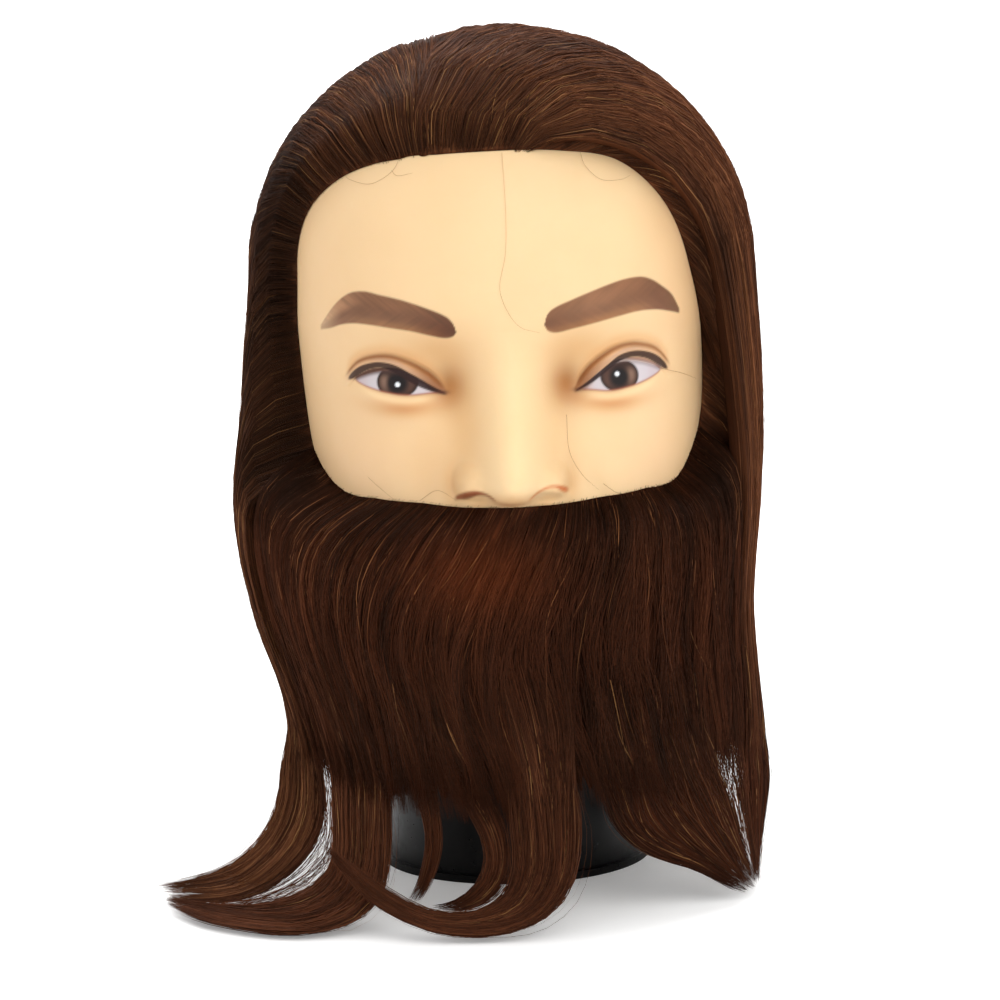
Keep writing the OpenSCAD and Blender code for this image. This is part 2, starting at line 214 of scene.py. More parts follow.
def lid_curve(points, x, side):
    """A lid curve of one eye: the left eye is a little more closed."""
    opening = np.where(side < 0, LEFT_LID_OPEN, 1.0)
    return LID_AXIS + (through(points, along_eye(x)) - LID_AXIS) * opening


# The nose by height: how far its ridge stands out, the ridge's half width, and the slope beside it.
NOSE_REACH = [(130, 0), (134, 1), (136.5, 9), (139, 16.0), (143, 20.2), (149, 19.4), (158, 15.6),
              (166, 11.5), (175, 7.6), (184, 5.0), (193, 2.6), (205, 0)]
NOSE_WIDTH = [(130, 10), (137, 9.5), (143, 11.2), (150, 11.2), (158, 11.0), (168, 10.6),
              (180, 10.4), (192, 12), (205, 15)]
NOSE_SLOPE = [(128, 0), (140, 1.0), (152, 0.9), (170, 0.6), (192, 0)]


def nose_relief(x, z):
    """How far the nose stands out: ridge and tip, side slopes, wings and nostrils."""
    ridge = through(NOSE_REACH, z) * np.exp(-np.abs(x / through(NOSE_WIDTH, z)) ** 2.1)
    slope = 4.0 * through(NOSE_SLOPE, z) * bell(x, 21)
    ax = np.abs(x)
    dx = (ax - 11.6) / 6.2
    dz = (z - 143.8) / 7.0
    wing = 9.5 * np.exp(-((dx**2 + dz**2) ** 1.8))
    groove = -1.1 * np.exp(-(((np.hypot(dx, dz * 0.85) - 1.22) / 0.24) ** 2)) * smooth((ax - 12) / 5)
    groove = groove * smooth((z - 138) / 4) * smooth((154 - z) / 6)
    pit = -5.0 * np.exp(-((((ax - 11.0) / 4.4) ** 2 + ((z - 138.6) / 2.1) ** 2) ** 1.4))
    body = np.log(np.exp(ridge / 2.2) + np.exp(wing / 2.2) - 1) * 2.2
    return body + slope + groove + pit


def eye_relief(x, z):
    """The eyeball's bulge, the two lids and the fold above the upper lid."""
    side = np.sign(x)
    up = lid_curve(LID_UP, x, side)
    low = lid_curve(LID_LOW, x, side)
    crease = lid_curve(CREASE, x, side)
    in_eye = smooth((np.abs(x) - 19) / 7) * smooth((56 - np.abs(x)) / 6)
    ball = 4.8 * np.exp(-((((np.abs(x) - 37) / 17) ** 2 + ((z - 177.5) / 11.5) ** 2) ** 1.3))
    lid = 1.5 * smooth((z - up) / 1.2) * smooth((crease + 1.5 - z) / 3.0)
    lower = 0.9 * smooth((low - z) / 1.0) * bell(z - low + 2.5, 3.2) * smooth((51 - np.abs(x)) / 7)
    fold = -1.5 * bell(z - crease, 1.1)
    return ball + in_eye * (lid + lower + fold)


def face_relief(x, z):
    """How far the face stands out from the plain skull."""
    ax = np.abs(x)
    brow = 2.4 * bell(z - 200, 9) * bell(ax - 25, 24)
    socket = -5.5 * bell(z - 181, 11.5) * bell(ax - 33, 18)
    socket = socket - 3.2 * bell(ax - 19.5, 7.5) * bell(z - 175, 9)
    cheek = 3.2 * bell(z - 152, 17) * bell(ax - 44, 20)
    fold = -1.4 * bell(ax - 26 - (144 - z) * 0.35, 4) * bell(z - 140, 9)
    bag = 0.8 * bell(z - 166, 4) * bell(ax - 36, 13)
    muzzle = 3.0 * bell(z - 122, 14) * bell(x, 24)
    lips = 3.5 * bell(z - 113.5, 4.0) * bell(x, 19) + 4.5 * bell(z - 104.5, 4.2) * bell(x, 16)
    parting = -2.5 * bell(z - 109, 1.6) * bell(x, 22)
    philtrum = -1.2 * bell(x, 3) * bell(z - 127, 7)
    chin = 4.5 * bell(z - 84, 9) * bell(x, 17)
    forehead = 1.5 * bell(z - 226, 16) * bell(x, 40)
    return (brow + socket + cheek + fold + bag + muzzle + lips + parting + philtrum + chin + forehead
            + nose_relief(x, z) + eye_relief(x, z))


def ear_relief(y, z):
    """Ear bump on the side of the head: a rim around a shallow bowl."""
    d = np.hypot((z - 165) / 26, (y - 8 - (z - 165) * 0.12) / 14)
    return 5.5 * bell(d - 0.8, 0.22) + 3.0 * smooth((1.05 - d) / 0.3)


def head_surface(a, z):
    """Points of the vinyl's outer surface at angle a from the face and height z."""
    x, y = skull_point(a, z)
    y = y - face_relief(x, z) * smooth(np.cos(a) * 2.2)
    x = x + np.sign(np.sin(a)) * ear_relief(y, z) * smooth(np.abs(np.sin(a)) * 4 - 3)
    return np.stack([x, y, z], -1)


# ---------------------------------------------------------------- face paint
def band(v, low, high, soft):
    """1 where v lies between low and high, with edges soft wide."""
    return smooth((v - low) / soft + 0.5) * smooth((high - v) / soft + 0.5)


SKIN_TONE = linear((230, 198, 153))


def paint_skin(x, z):
    """The vinyl's tone with airbrushed tones, painted shade and a painted highlight on the moulded face.
    """
    ax, left = np.abs(x), x < 0
    base = np.ones(x.shape + (3,)) * SKIN_TONE
    # Painted shade: darker towards the sides of the face and over its left side.
    edge_shade = smooth((ax - 30) / 40)
    left_side_shade = smooth((-x - 2) / 62) * bell(z - 168, 62)
    # Painted shadow of the hair on the right temple.
    temple = smooth((x - 38) / 26) * bell(z - 215, 40)
    # Airbrushed orange tone with painted shade at the inner eye corners and in the band under the eyes;
    # painted shade under the brows.
    eye_corner = bell(ax - 18.8, 5.8) * bell(z - 175.0, 8.0)
    under_brow_shade = bell(z - 186, 6) * bell(ax - 24, 12)
    under_eye = bell(z - 168.0 - 0.008 * (ax - 34) ** 2, 2.8) * bell(ax - 34, 11.5)
    # Painted shade beside the nose, stronger on its left, in the grooves beside the wings and on the left
    # cheek.
    nose_flank_shade = bell(ax - 14.5, 7.0) * bell(z - 160, 19)
    wing_groove_shade = bell(ax - 19.5, 2.6) * bell(z - 143, 6.5)
    cheek = bell(ax - 26, 8) * bell(z - 150, 15) * left
    # Painted highlight down the nose's ridge.
    nose_ridge_highlight = bell(x - 1, 8.0) * smooth((z - 138) / 14) * smooth((200 - z) / 40)
    # Painted shade under the nose's tip and a painted shadow line at its base.
    under_tip_shade = bell(x + 0.5, 10) * bell(z - 138.6, 2.4)
    tip_shadow_line = bell(x + 1, 6.5) * bell(z - 137.6 - 0.03 * x**2, 0.9)
    # Painted light that lifts the shade in the nostril pits.
    pit_painted_light = bell(ax - 12.5, 5) * bell(z - 139.4, 2.2)
    for shade, strength, mask in [
        ((222, 184, 140), 0.45, edge_shade),
        ((216, 174, 130), 0.22, left_side_shade),
        ((216, 170, 124), 0.50, temple),
        ((150, 86, 26), 0.88, eye_corner),
        ((196, 140, 80), 0.48, under_brow_shade),
        ((190, 118, 52), 0.66, under_eye),
        ((206, 154, 94), np.where(left, 0.46, 0.22), nose_flank_shade),
        ((190, 132, 72), 0.42, wing_groove_shade),
        ((208, 162, 114), 0.34, cheek),
        ((238, 208, 160), 0.75, nose_ridge_highlight),
        ((190, 132, 78), 0.45, under_tip_shade),
        ((134, 72, 34), 0.60, tip_shadow_line),
        ((246, 204, 150), 0.6, pit_painted_light),
    ]:
        base = wash(base, shade, strength * mask)
    base = paint_nostrils(base, ax, z, left)
    rose = bell(z - 152, 14) * bell(ax - 46, 14)
    return wash(base, (226, 176, 138), 0.22 * rose)


def paint_nostrils(base, ax, z, left):
    """Two painted arcs at the nostrils, reddish paint with the openings' painted shade; the left one is
    darker and thicker.
    """
    arc = np.where(left, 142.2 - 0.062 * (ax - 12.0) ** 2, 143.2 - 0.060 * (ax - 13.2) ** 2)
    thick = np.where(left, 0.9 + 1.9 * bell(ax - 14.2, 3.4), 0.7 + 1.2 * bell(ax - 16.8, 2.0))
    nostril = band(ax, 5.6, 18.2, 2.0) * band(z, arc - thick, arc, 1.1)
    tone = np.where(left[..., None], linear((128, 46, 12)), linear((190, 84, 10)))
    return blend(base, tone, np.where(left, 0.88, 0.82) * nostril)


def paint_eyes(base, x, z):
    """Lids, eyeball, lash lines and a painted glint on each eye, with painted shade and highlight round
    them.
    """
    left, side, ax = x < 0, np.sign(x), along_eye(x)
    up, low, crease, liner_top, liner_low = (
        lid_curve(points, x, side) for points in (LID_UP, LID_LOW, CREASE, LINER_TOP, LINER_LOW))
    liner_low = liner_low - np.where(left, 1.35, 0.15) * bell(ax - 32, 7.5)
    base = paint_upper_lid(base, ax, z, crease, liner_top, liner_low)
    # Painted highlight along the skin just under the lower lid.
    rim = bell(z - low + 1.8, 1.2) * smooth((ax - 24) / 6) * smooth((51 - ax) / 6)
    base = wash(base, (238, 208, 162), 0.50 * rim)
    white = band(z, low, up + 0.8, 0.5) * band(ax, 22.5, 51.6, 0.8) * smooth((up - low) / 0.8)
    base = blend(base, eyeball_colours(base, ax, z, left, up), white)
    base = paint_lash_lines(base, ax, z, left, up, low, liner_top, liner_low)
    # Painted highlight: a glint on each eye.
    glint_x, glint_z = ax - 36.1 + 0.4 * (side > 0), z - np.where(left, 175.9, 177.4)
    glint = smooth((0.85 - np.hypot(glint_x * 0.98, glint_z * 0.98)) / 0.45 + 0.3)
    return wash(base, (236, 242, 248), 0.95 * glint)


def paint_upper_lid(base, ax, z, crease, liner_top, liner_low):
    """The upper lid between crease and liner, with painted shade towards the nose, a painted highlight
    above the liner, and painted shade in its fold and just above it.
    """
    reach = smooth((ax - 21) / 2.5) * smooth((55 - ax) / 2.5)
    lid = band(z, liner_low, crease, 1.5) * reach
    base = wash(base, (214, 164, 124), 0.60 * lid)
    # Painted shade where the lid turns in towards the nose.
    base = wash(base, (128, 78, 44), 0.80 * lid * smooth((38 - ax) / 13))
    # Painted highlight just above the liner.
    shine = bell(z - liner_top - 0.8, 0.8) * reach * bell(ax - 39, 8)
    base = wash(base, (176, 146, 130), 0.60 * shine)
    # Painted shade in the lid's fold.
    fold = bell(z - crease, 0.80) * reach
    base = wash(base, (116, 62, 26), 0.85 * fold)
    # A soft band of painted shade just above the fold.
    glow = bell(z - crease - 1.8, 2.2) * reach
    return wash(base, (206, 146, 88), 0.40 * glow)


def eyeball_colours(base, ax, z, left, up):
    """Colours of the white, the iris and the pupil, with painted shade at the white's outer end and
    painted shadow under the upper lid.
    """
    eye = np.ones_like(base) * linear((198, 190, 194))
    # Painted shade towards the white's outer end.
    eye = wash(eye, (190, 172, 176), 0.6 * smooth((ax - 44) / 5))
    eye = wash(eye, (196, 158, 144), 0.75 * smooth((28.5 - ax) / 4))
    dx, dz = (ax - EYE_X) / np.where(left, 6.7, 6.5), (z - EYE_Z) / 5.3
    r = np.hypot(dx, dz)
    iris = np.ones_like(base) * linear((66, 44, 36))
    iris = wash(iris, (136, 106, 90), 0.85 * bell(dx - 0.60, 0.26) * bell(dz - 0.05, 0.55))
    iris = wash(iris, (92, 62, 50), 0.60 * bell(dx + 0.62, 0.24) * bell(dz + 0.1, 0.6))
    iris = wash(iris, (30, 16, 14), 0.9 * bell(r - 1.0, 0.13))
    pupil = smooth((0.50 - np.hypot(dx + 0.02, dz * 0.85 + 0.06)) / 0.34 + 0.5)
    iris = wash(iris, (20, 16, 18), 0.95 * pupil)
    # Painted shadow of the upper lid over the iris's top, stronger on the left eye.
    iris = wash(iris, (34, 20, 18), np.where(left, 0.9, 0.55) * smooth((dz - 0.15) / 0.6))
    eye = blend(eye, iris, smooth((1.0 - r) / 0.10 + 0.5))
    # Painted shadow of the upper lid along the top of the eye, stronger on the left eye.
    return wash(eye, (86, 60, 54), np.where(left, 0.80, 0.50) * smooth((z - up + 1.5) / 1.5))


def paint_lash_lines(base, ax, z, left, up, low, liner_top, liner_low):
    """The lower waterline, the upper lid's margin with painted shade on the left eye, a painted highlight
    on the right eye's lid edge, the painted liner and painted shade in the inner corners.
    """
    waterline = bell(z - low, 0.38) * smooth((ax - 23) / 2) * smooth((52 - ax) / 2)
    base = wash(base, (160, 92, 70), 0.72 * waterline)
    margin = band(z, up, liner_low, 0.5) * smooth((ax - 25) / 3) * smooth((52.2 - ax) / 2)
    base = wash(base, (150, 112, 96), 0.85 * margin)
    # Painted shade over the left eye's margin.
    base = wash(base, (74, 42, 28), 0.85 * margin * left)
    # Painted highlight along the right eye's upper lid edge.
    right_lid_highlight = bell(z - up - 0.1, 0.32) * band(ax, 30, 49, 2) * ~left
    base = wash(base, (206, 190, 184), 0.55 * right_lid_highlight)
    middle, half = (liner_top + liner_low) / 2, np.maximum(liner_top - liner_low, 0.5) / 2
    end = np.hypot(np.maximum(ax - 51.6, 0) / 1.8, (z - middle) / half)
    liner = smooth((1 - end) * half / 0.6 + 0.5) * smooth((ax - 21.2) / 1.5)
    base = wash(base, (44, 22, 20), 0.94 * liner)
    # Painted shade in the eye's inner corner.
    inner_corner_shade = bell(z - low - 0.4, 0.7) * bell(ax - 22.8, 1.8)
    return wash(base, (84, 44, 28), 0.85 * inner_corner_shade)


def paint_brow(base, x, z, side):
    """One painted brow: a soft brown band with fine strokes that follow its sweep."""
    ax = np.abs(x)
    top, low = through(BROW_TOP[side], ax), through(BROW_LOW[side], ax)
    start, end = BROW_TOP[side][0][0], BROW_TOP[side][-1][0]
    is_left = side < 0
    inside = band(z, low, top, 0.8) * band(ax, start, end, 0.8) * (x * side > 0)
    across = (z - low) / np.maximum(top - low, 0.5)
    along = (ax - start) / (end - start)
    rising = streaks(71 + side, (ax * 0.80 - (z - 170) * 0.95 + 50) / 100, ax / 60, 150, 9)
    falling = streaks(75 + side, (ax * 0.55 + (z - 170) * 0.9) / 100, ax / 60, 150, 9)
    share = smooth((across - 0.25) / 0.5)
    strokes = rising * share + falling * (1 - share)
    soft = streaks(79 + side, along, across, 9, 4)
    tone = np.ones_like(base) * linear((128, 82, 56))
    tone = wash(tone, (92, 52, 36), 0.60 * bell(across - 0.45, 0.24) * (1 - 0.4 * along))
    pale_edge = smooth((0.30 - across) / 0.30) * smooth((0.9 - along) / 0.3)
    tone = wash(tone, (166, 114, 68), 0.55 * pale_edge)
    dark, dark_reach = (0.85, 0.42) if is_left else (0.30, 0.22)
    tone = wash(tone, (80, 24, 8), dark * smooth((dark_reach - along) / dark_reach))
    tail = smooth((along - 0.62) / 0.3)
    if is_left:
        tone = wash(tone, (186, 138, 102), 0.60 * tail * smooth((across - 0.3) / 0.4))
        tone = tone * (1 + 0.28 * strokes * (0.5 + 0.5 * share))[..., None]
    else:
        tone = wash(tone, (148, 102, 74), 0.50 * bell(along - 0.35, 0.2) * bell(across - 0.6, 0.3))
        tone = wash(tone, (92, 50, 32), 0.80 * tail)
        tone = tone * (1 + 0.09 * strokes)[..., None]
    bright, fade = (0.82, 0.35) if is_left else (0.95, 0.05)
    tone = bright * tone * (1 + 0.14 * soft)[..., None]
    strength = 0.94 - fade * smooth((along - 0.82) / 0.18)
    return blend(base, tone, inside * strength)


def paint_face(x, z):
    """Colours of the painted face, seen from in front."""
    base = paint_skin(x, z)
    base = paint_eyes(base, x, z)
    for side in (-1, 1):
        base = paint_brow(base, x, z, side)
    return base


# ---------------------------------------------------------------- mesh helpers
def new_mesh(name, points, quads, tris=None):
    """Mesh object from arrays of points in millimetres and of quads and triangles."""
    mesh = bpy.data.meshes.new(name)
    tris = np.zeros((0, 3), int) if tris is None else tris
    loops = np.concatenate([quads.ravel(), tris.ravel()])
    starts = np.concatenate([np.arange(len(quads)) * 4, len(quads) * 4 + np.arange(len(tris)) * 3])
    mesh.vertices.add(len(points))
    mesh.vertices.foreach_set("co", (points * MM).astype(np.float32).ravel())
    mesh.loops.add(len(loops))
    mesh.loops.foreach_set("vertex_index", loops.astype(np.int32))
    mesh.polygons.add(len(starts))
    mesh.polygons.foreach_set("loop_start", starts.astype(np.int32))
    mesh.update(calc_edges=True)
    obj = bpy.data.objects.new(name, mesh)
    bpy.context.scene.collection.objects.link(obj)
    return obj


def set_tint(obj, colours):
    """Store a linear colour for each point; the materials read it."""
    layer = obj.data.color_attributes.new("tint", "FLOAT_COLOR", "POINT")
    rgba = np.ones((len(colours), 4), np.float32)
    rgba[:, :3] = colours
    layer.data.foreach_set("color", rgba.ravel())


def set_bake_uv(obj, corner_uv):
    """Store a texture layout in the UV layer OFBake."""
    layer = obj.data.uv_layers.new(name="OFBake")
    layer.data.foreach_set("uv", corner_uv.astype(np.float32).ravel())


def grid_quads(rows, cols, closed=True):
    """Quads of a grid of points; a closed grid's last column joins its first."""
    r, c = np.meshgrid(np.arange(rows - 1), np.arange(cols if closed else cols - 1), indexing="ij")
    right = (c + 1) % cols
    a, b = r * cols + c, r * cols + right
    return np.stack([a, b, b + cols, a + cols], -1).reshape(-1, 4)


def piece(obj, slot, material, *stands_for):
    """Give a mesh its material, hang it on the root body, and hide the nodes whose plain solids it
    replaces. The slot is not used.
    """
    obj.data.materials.clear()
    obj.data.materials.append(material)
    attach(obj, "root")
    if stands_for:
        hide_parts(*stands_for)
    return obj


# ---------------------------------------------------------------- materials
def node_material(name):
    """A new material with its nodes, links and main shader."""
    material = bpy.data.materials.new(name)
    material.use_nodes = True
    nodes, links = material.node_tree.nodes, material.node_tree.links
    return material, nodes, links, nodes["Principled BSDF"]


def set_inputs(node, values):
    """Set a node's inputs from their names and values."""
    for name, value in values.items():
        node.inputs[name].default_value = value


def tint_node(nodes):
    """The colour stored for each point."""
    tint = nodes.new("ShaderNodeAttribute")
    tint.attribute_name = "tint"
    return tint.outputs["Color"]


def noise_node(nodes, links, scale, detail=3.0, stretch=(1, 1, 1)):
    """Noise over the object: a larger scale is finer."""
    where = nodes.new("ShaderNodeTexCoord")
    mapping = nodes.new("ShaderNodeMapping")
    mapping.inputs["Scale"].default_value = stretch
    noise = nodes.new("ShaderNodeTexNoise")
    set_inputs(noise, {"Scale": scale, "Detail": detail})
    links.new(where.outputs["Object"], mapping.inputs["Vector"])
    links.new(mapping.outputs["Vector"], noise.inputs["Vector"])
    return noise.outputs["Fac"]


def ramp_node(nodes, links, source, low, high):
    """A source turned into colours from low to high."""
    ramp = nodes.new("ShaderNodeValToRGB")
    for element, position, colour in zip(ramp.color_ramp.elements, (0.3, 0.7), (low, high)):
        element.position = position
        element.color = (*colour, 1)
    links.new(source, ramp.inputs["Fac"])
    return ramp.outputs["Color"]


def multiply_node(nodes, links, a, b, factor):
    """Colour a multiplied by colour b, as far as the factor says."""
    mix = nodes.new("ShaderNodeMix")
    mix.data_type = "RGBA"
    mix.blend_type = "MULTIPLY"
    mix.inputs["Factor"].default_value = factor
    links.new(a, mix.inputs["A"])
    links.new(b, mix.inputs["B"])
    return mix.outputs["Result"]


def bump_node(nodes, links, shader, source, strength, distance):
    """Surface grain from a source."""
    bump = nodes.new("ShaderNodeBump")
    set_inputs(bump, {"Strength": strength, "Distance": distance})
    links.new(source, bump.inputs["Height"])
    links.new(bump.outputs["Normal"], shader.inputs["Normal"])


def vinyl_material():
    """Soft satin vinyl: painted tint, faint mottling, pores, a little light scatter."""
    material, nodes, links, shader = node_material("painted_vinyl")
    tint = tint_node(nodes)
    mottle = ramp_node(nodes, links, noise_node(nodes, links, 38, 4), (0.95, 0.93, 0.90), (1, 1, 1))
    links.new(multiply_node(nodes, links, tint, mottle, 0.7), shader.inputs["Base Color"])
    rough = ramp_node(nodes, links, noise_node(nodes, links, 160, 3), (0.40,) * 3, (0.52,) * 3)
    links.new(rough, shader.inputs["Roughness"])
    bump_node(nodes, links, shader, noise_node(nodes, links, 900, 2), 0.10, 0.00025)
    set_inputs(shader, {"Specular IOR Level": 0.22, "Subsurface Weight": 0.12,
                        "Subsurface Radius": (0.004, 0.002, 0.001), "Subsurface Scale": 1.0})
    return material


def hair_material(name, roughness, shine):
    """Hair: tint from the strand, slow changes of tone, and a brown sheen."""
    material, nodes, links, shader = node_material(name)
    tint = tint_node(nodes)
    tone = noise_node(nodes, links, 42, 3, (1, 1, 0.3))
    patch = ramp_node(nodes, links, tone, (0.74, 0.70, 0.68), (1.22, 1.20, 1.18))
    links.new(multiply_node(nodes, links, tint, patch, 1.0), shader.inputs["Base Color"])
    facing = nodes.new("ShaderNodeLayerWeight")
    level = nodes.new("ShaderNodeMapRange")
    set_inputs(level, {"From Min": 0.15, "From Max": 0.75, "To Min": shine, "To Max": 0.02})
    links.new(facing.outputs["Facing"], level.inputs["Value"])
    links.new(level.outputs["Result"], shader.inputs["Specular IOR Level"])
    set_inputs(shader, {"Roughness": roughness, "IOR": 1.32, "Specular Tint": (1.0, 0.62, 0.42, 1)})
    return material


def moulded_material(name, low, high, roughness, grain, shine=0.5):
    """Moulded plastic or cast material: slight tone change and a fine moulded grain."""
    material, nodes, links, shader = node_material(name)
    tone = noise_node(nodes, links, 24, 3)
    links.new(ramp_node(nodes, links, tone, low, high), shader.inputs["Base Color"])
    fine = noise_node(nodes, links, 420, 2)
    rough = ramp_node(nodes, links, fine, (roughness * 0.8,) * 3, (roughness * 1.25,) * 3)
    links.new(rough, shader.inputs["Roughness"])
    bump_node(nodes, links, shader, fine, grain, 0.0003)
    shader.inputs["Specular IOR Level"].default_value = shine
    return material


def screw_material():
    """Zinc plate with fine turned marks."""
    material, nodes, links, shader = node_material("zinc_plate")
    turned = noise_node(nodes, links, 300, 3, (1, 1, 8))
    zinc = ramp_node(nodes, links, turned, (0.42, 0.42, 0.45), (0.66, 0.66, 0.68))
    links.new(zinc, shader.inputs["Base Color"])
    set_inputs(shader, {"Metallic": 1.0, "Roughness": 0.32})
    bump_node(nodes, links, shader, turned, 0.2, 0.0002)
    return material


# ---------------------------------------------------------------- the vinyl head
def spread(*spans):
    """Values from spans of (start, end, step), each stepped evenly."""
    parts = []
    for start, end, step in spans:
        count = max(1, round(abs(end - start) / step))
        parts.append(np.linspace(start, end, count, endpoint=False))
    return np.concatenate(parts)


# Half widths of the finely divided face and nose, and the counts of the coarser parts.
FACE_SPAN, NOSE_SPAN = 62.0, 11.0
BACK_COLUMNS, DOME_ROWS = 76, 20
INNER_WALL_ROWS, INNER_DOME_ROWS = 14, 8
# Above this height the rows follow the dome.
FOREHEAD_Z = 250
# The last ring lies this far below the top, so no face has zero area.
POLE_GAP = 0.004
# The lip around the neck's hole: its thickness and its reach in from the base's wall.
LIP_THICK, LIP_REACH = 3, 10


def column_angles():
    """Angles of the head's columns, closest together across the painted eyes and brows."""
    half = float(skull_reach(np.array(EYE_Z))[2])
    xs = spread((-FACE_SPAN, -NOSE_SPAN, 0.40), (-NOSE_SPAN, NOSE_SPAN, 0.62),
                (NOSE_SPAN, FACE_SPAN, 0.40))
    face = np.arcsin(power(np.append(xs, FACE_SPAN) / half, 1 / SQUARENESS))
    side = face[-1]
    behind = FULL_TURN - 2 * side
    turns = np.linspace(side, FULL_TURN - side, BACK_COLUMNS)[1:-1]
    share = (turns - side) / behind
    eased = share - 0.52 * np.sin(FULL_TURN * share) / FULL_TURN
    return np.concatenate([face, side + eased * behind])


def row_heights():
    """Heights of the head's rows, closest together across the eyes, brows and nose."""
    lower = spread((NECK_Z, 96, 4.0), (96, 132, 2.0), (132, 168, 0.66), (168, 211, 0.41),
                   (211, FOREHEAD_Z, 1.8))
    start = math.asin((FOREHEAD_Z - DOME_Z) / (HEAD_TOP - DOME_Z))
    upper = DOME_Z + (HEAD_TOP - DOME_Z) * np.sin(np.linspace(start, math.pi / 2, DOME_ROWS))
    upper[-1] = HEAD_TOP - POLE_GAP
    return np.concatenate([lower, upper])


def inner_rings(angles):
    """The vinyl's inner surface from its top down, then the lip around the neck's hole."""
    wall = np.linspace(NECK_Z + LIP_THICK, DOME_Z, INNER_WALL_ROWS)
    turn = np.linspace(0, math.pi / 2, INNER_DOME_ROWS)[1:]
    arch = DOME_Z + (HEAD_TOP - SKIN - DOME_Z) * np.sin(turn)
    arch[-1] -= POLE_GAP
    a, z = np.meshgrid(angles, np.concatenate([wall, arch]))
    x, y = skull_point(a, z, -SKIN)
    inner = np.stack([x, y, z], -1)
    lip_r, lip_z = BASE_R - LIP_REACH, np.full(len(angles), NECK_Z + LIP_THICK)
    lip = np.stack([lip_r * np.sin(angles), -lip_r * np.cos(angles), lip_z], -1)
    return np.concatenate([inner[::-1], lip[None], lip[None] - [0, 0, LIP_THICK]])


def head_tint(points):
    """The head's paint: the face in front, plain vinyl behind it, a darker scalp on top."""
    x, y, z = points[:, 0], points[:, 1], points[:, 2]
    face = paint_face(x, z)
    bare = np.ones_like(face) * linear((224, 188, 144))
    tint = blend(bare, face, smooth((-y - 18) / 30))
    return wash(tint, (120, 84, 60), 0.6 * smooth((z - 252) / 6))


def build_head():
    """The vinyl head as one closed skin with its inner surface and neck lip."""
    angles = column_angles()
    a, z = np.meshgrid(angles, row_heights())
    inner = inner_rings(angles)
    rings = np.concatenate([inner, head_surface(a, z)])
    rows, cols = rings.shape[:2]
    points = rings.reshape(-1, 3)
    head = new_mesh("vinyl_head", points, grid_quads(rows, cols), pole_fans(rows, cols))
    set_tint(head, head_tint(points))
    set_bake_uv(head, grid_uv(rows, cols, len(inner)))
    return piece(head, "vinyl_skin", vinyl_material(), "head_shell")


def pole_fans(rows, cols):
    """Triangles that close the first and last rings onto their own first point."""
    c = np.arange(1, cols - 1)
    low = np.stack([np.zeros_like(c), c + 1, c], -1)
    top = (rows - 1) * cols
    high = np.stack([np.full_like(c, top), top + c, top + c + 1], -1)
    return np.concatenate([low, high])


def grid_uv(rows, cols, inner_rows):
    """Texture layout of a ring grid: the inner rows share a thin strip, the rest is even."""
    v = np.concatenate([np.linspace(0, 0.05, inner_rows), np.linspace(0.06, 1, rows - inner_rows)])
    r, c = np.meshgrid(np.arange(rows - 1), np.arange(cols), indexing="ij")
    u0, u1 = c / cols, (c + 1) / cols
    v0, v1 = v[r], v[r + 1]
    quads = np.stack([u0, v0, u1, v0, u1, v1, u0, v1], -1).reshape(-1, 2)
    fans = np.zeros(((cols - 2) * 6, 2))
    fans[:, 1] = 0.055
    return np.concatenate([quads, fans])


# ---------------------------------------------------------------- hair surface
def ratio(p, reach, top):
    """How far points lie out, as a share of a rounded body's own surface."""
    front, back, left, right = reach
    x, y, z = p[..., 0], p[..., 1], p[..., 2]
    half = np.where(x < 0, left, right)
    depth = np.where(y < 0, front, back)
    q = 2 / SQUARENESS
    flat = (np.abs(x / half) ** q + np.abs(y / depth) ** q) ** (2 / q)
    lift = np.maximum(z - DOME_Z, 0) / (top - DOME_Z)
    return np.sqrt(flat + lift**2)


def hair_reach(z):
    """The hair's reach to the front, back, left and right at height z."""
    front, back, half = skull_reach(np.full(np.shape(z), DOME_Z))
    return (front + profile(ENVELOPE, z, 1), back + profile(ENVELOPE, z, 2),
            half + profile(ENVELOPE, z, 3), half + profile(ENVELOPE, z, 4))


def axis_point(p):
    """The point of the head's axis that p lies out from."""
    centre = np.zeros_like(p)
    centre[..., 2] = np.minimum(p[..., 2], DOME_Z)
    return centre


def outward(p):
    """Unit directions from the head's axis to points."""
    v = p - axis_point(p)
    return v / np.maximum(np.linalg.norm(v, axis=-1, keepdims=True), 1e-6)


def on_hair(p, depth):
    """Points moved out or in to lie depth under the hair's outer surface."""
    centre = axis_point(p)
    v = (p - centre) / np.maximum(ratio(p, hair_reach(p[..., 2]), HAIR_TOP), 1e-6)[..., None]
    size = np.maximum(np.linalg.norm(v, axis=-1, keepdims=True), 1e-6)
    return centre + v * (1 - depth[..., None] / size)


def skin_gap(p):
    """Distance from the hair's outer surface in to the vinyl, along the same line."""
    front, back, half = skull_reach(p[..., 2])
    v = np.linalg.norm(p - axis_point(p), axis=-1)
    out = 1 / np.maximum(ratio(p, hair_reach(p[..., 2]), HAIR_TOP), 1e-6)
    skin = 1 / np.maximum(ratio(p, (front, back, half, half), HEAD_TOP), 1e-6)
    x, y, z = p[..., 0], p[..., 1], p[..., 2]
    relief = face_relief(x, z) * smooth((-y - 66) / 16) * smooth((150 - z) / 6)
    return v * (out - skin) - np.maximum(relief, 0)


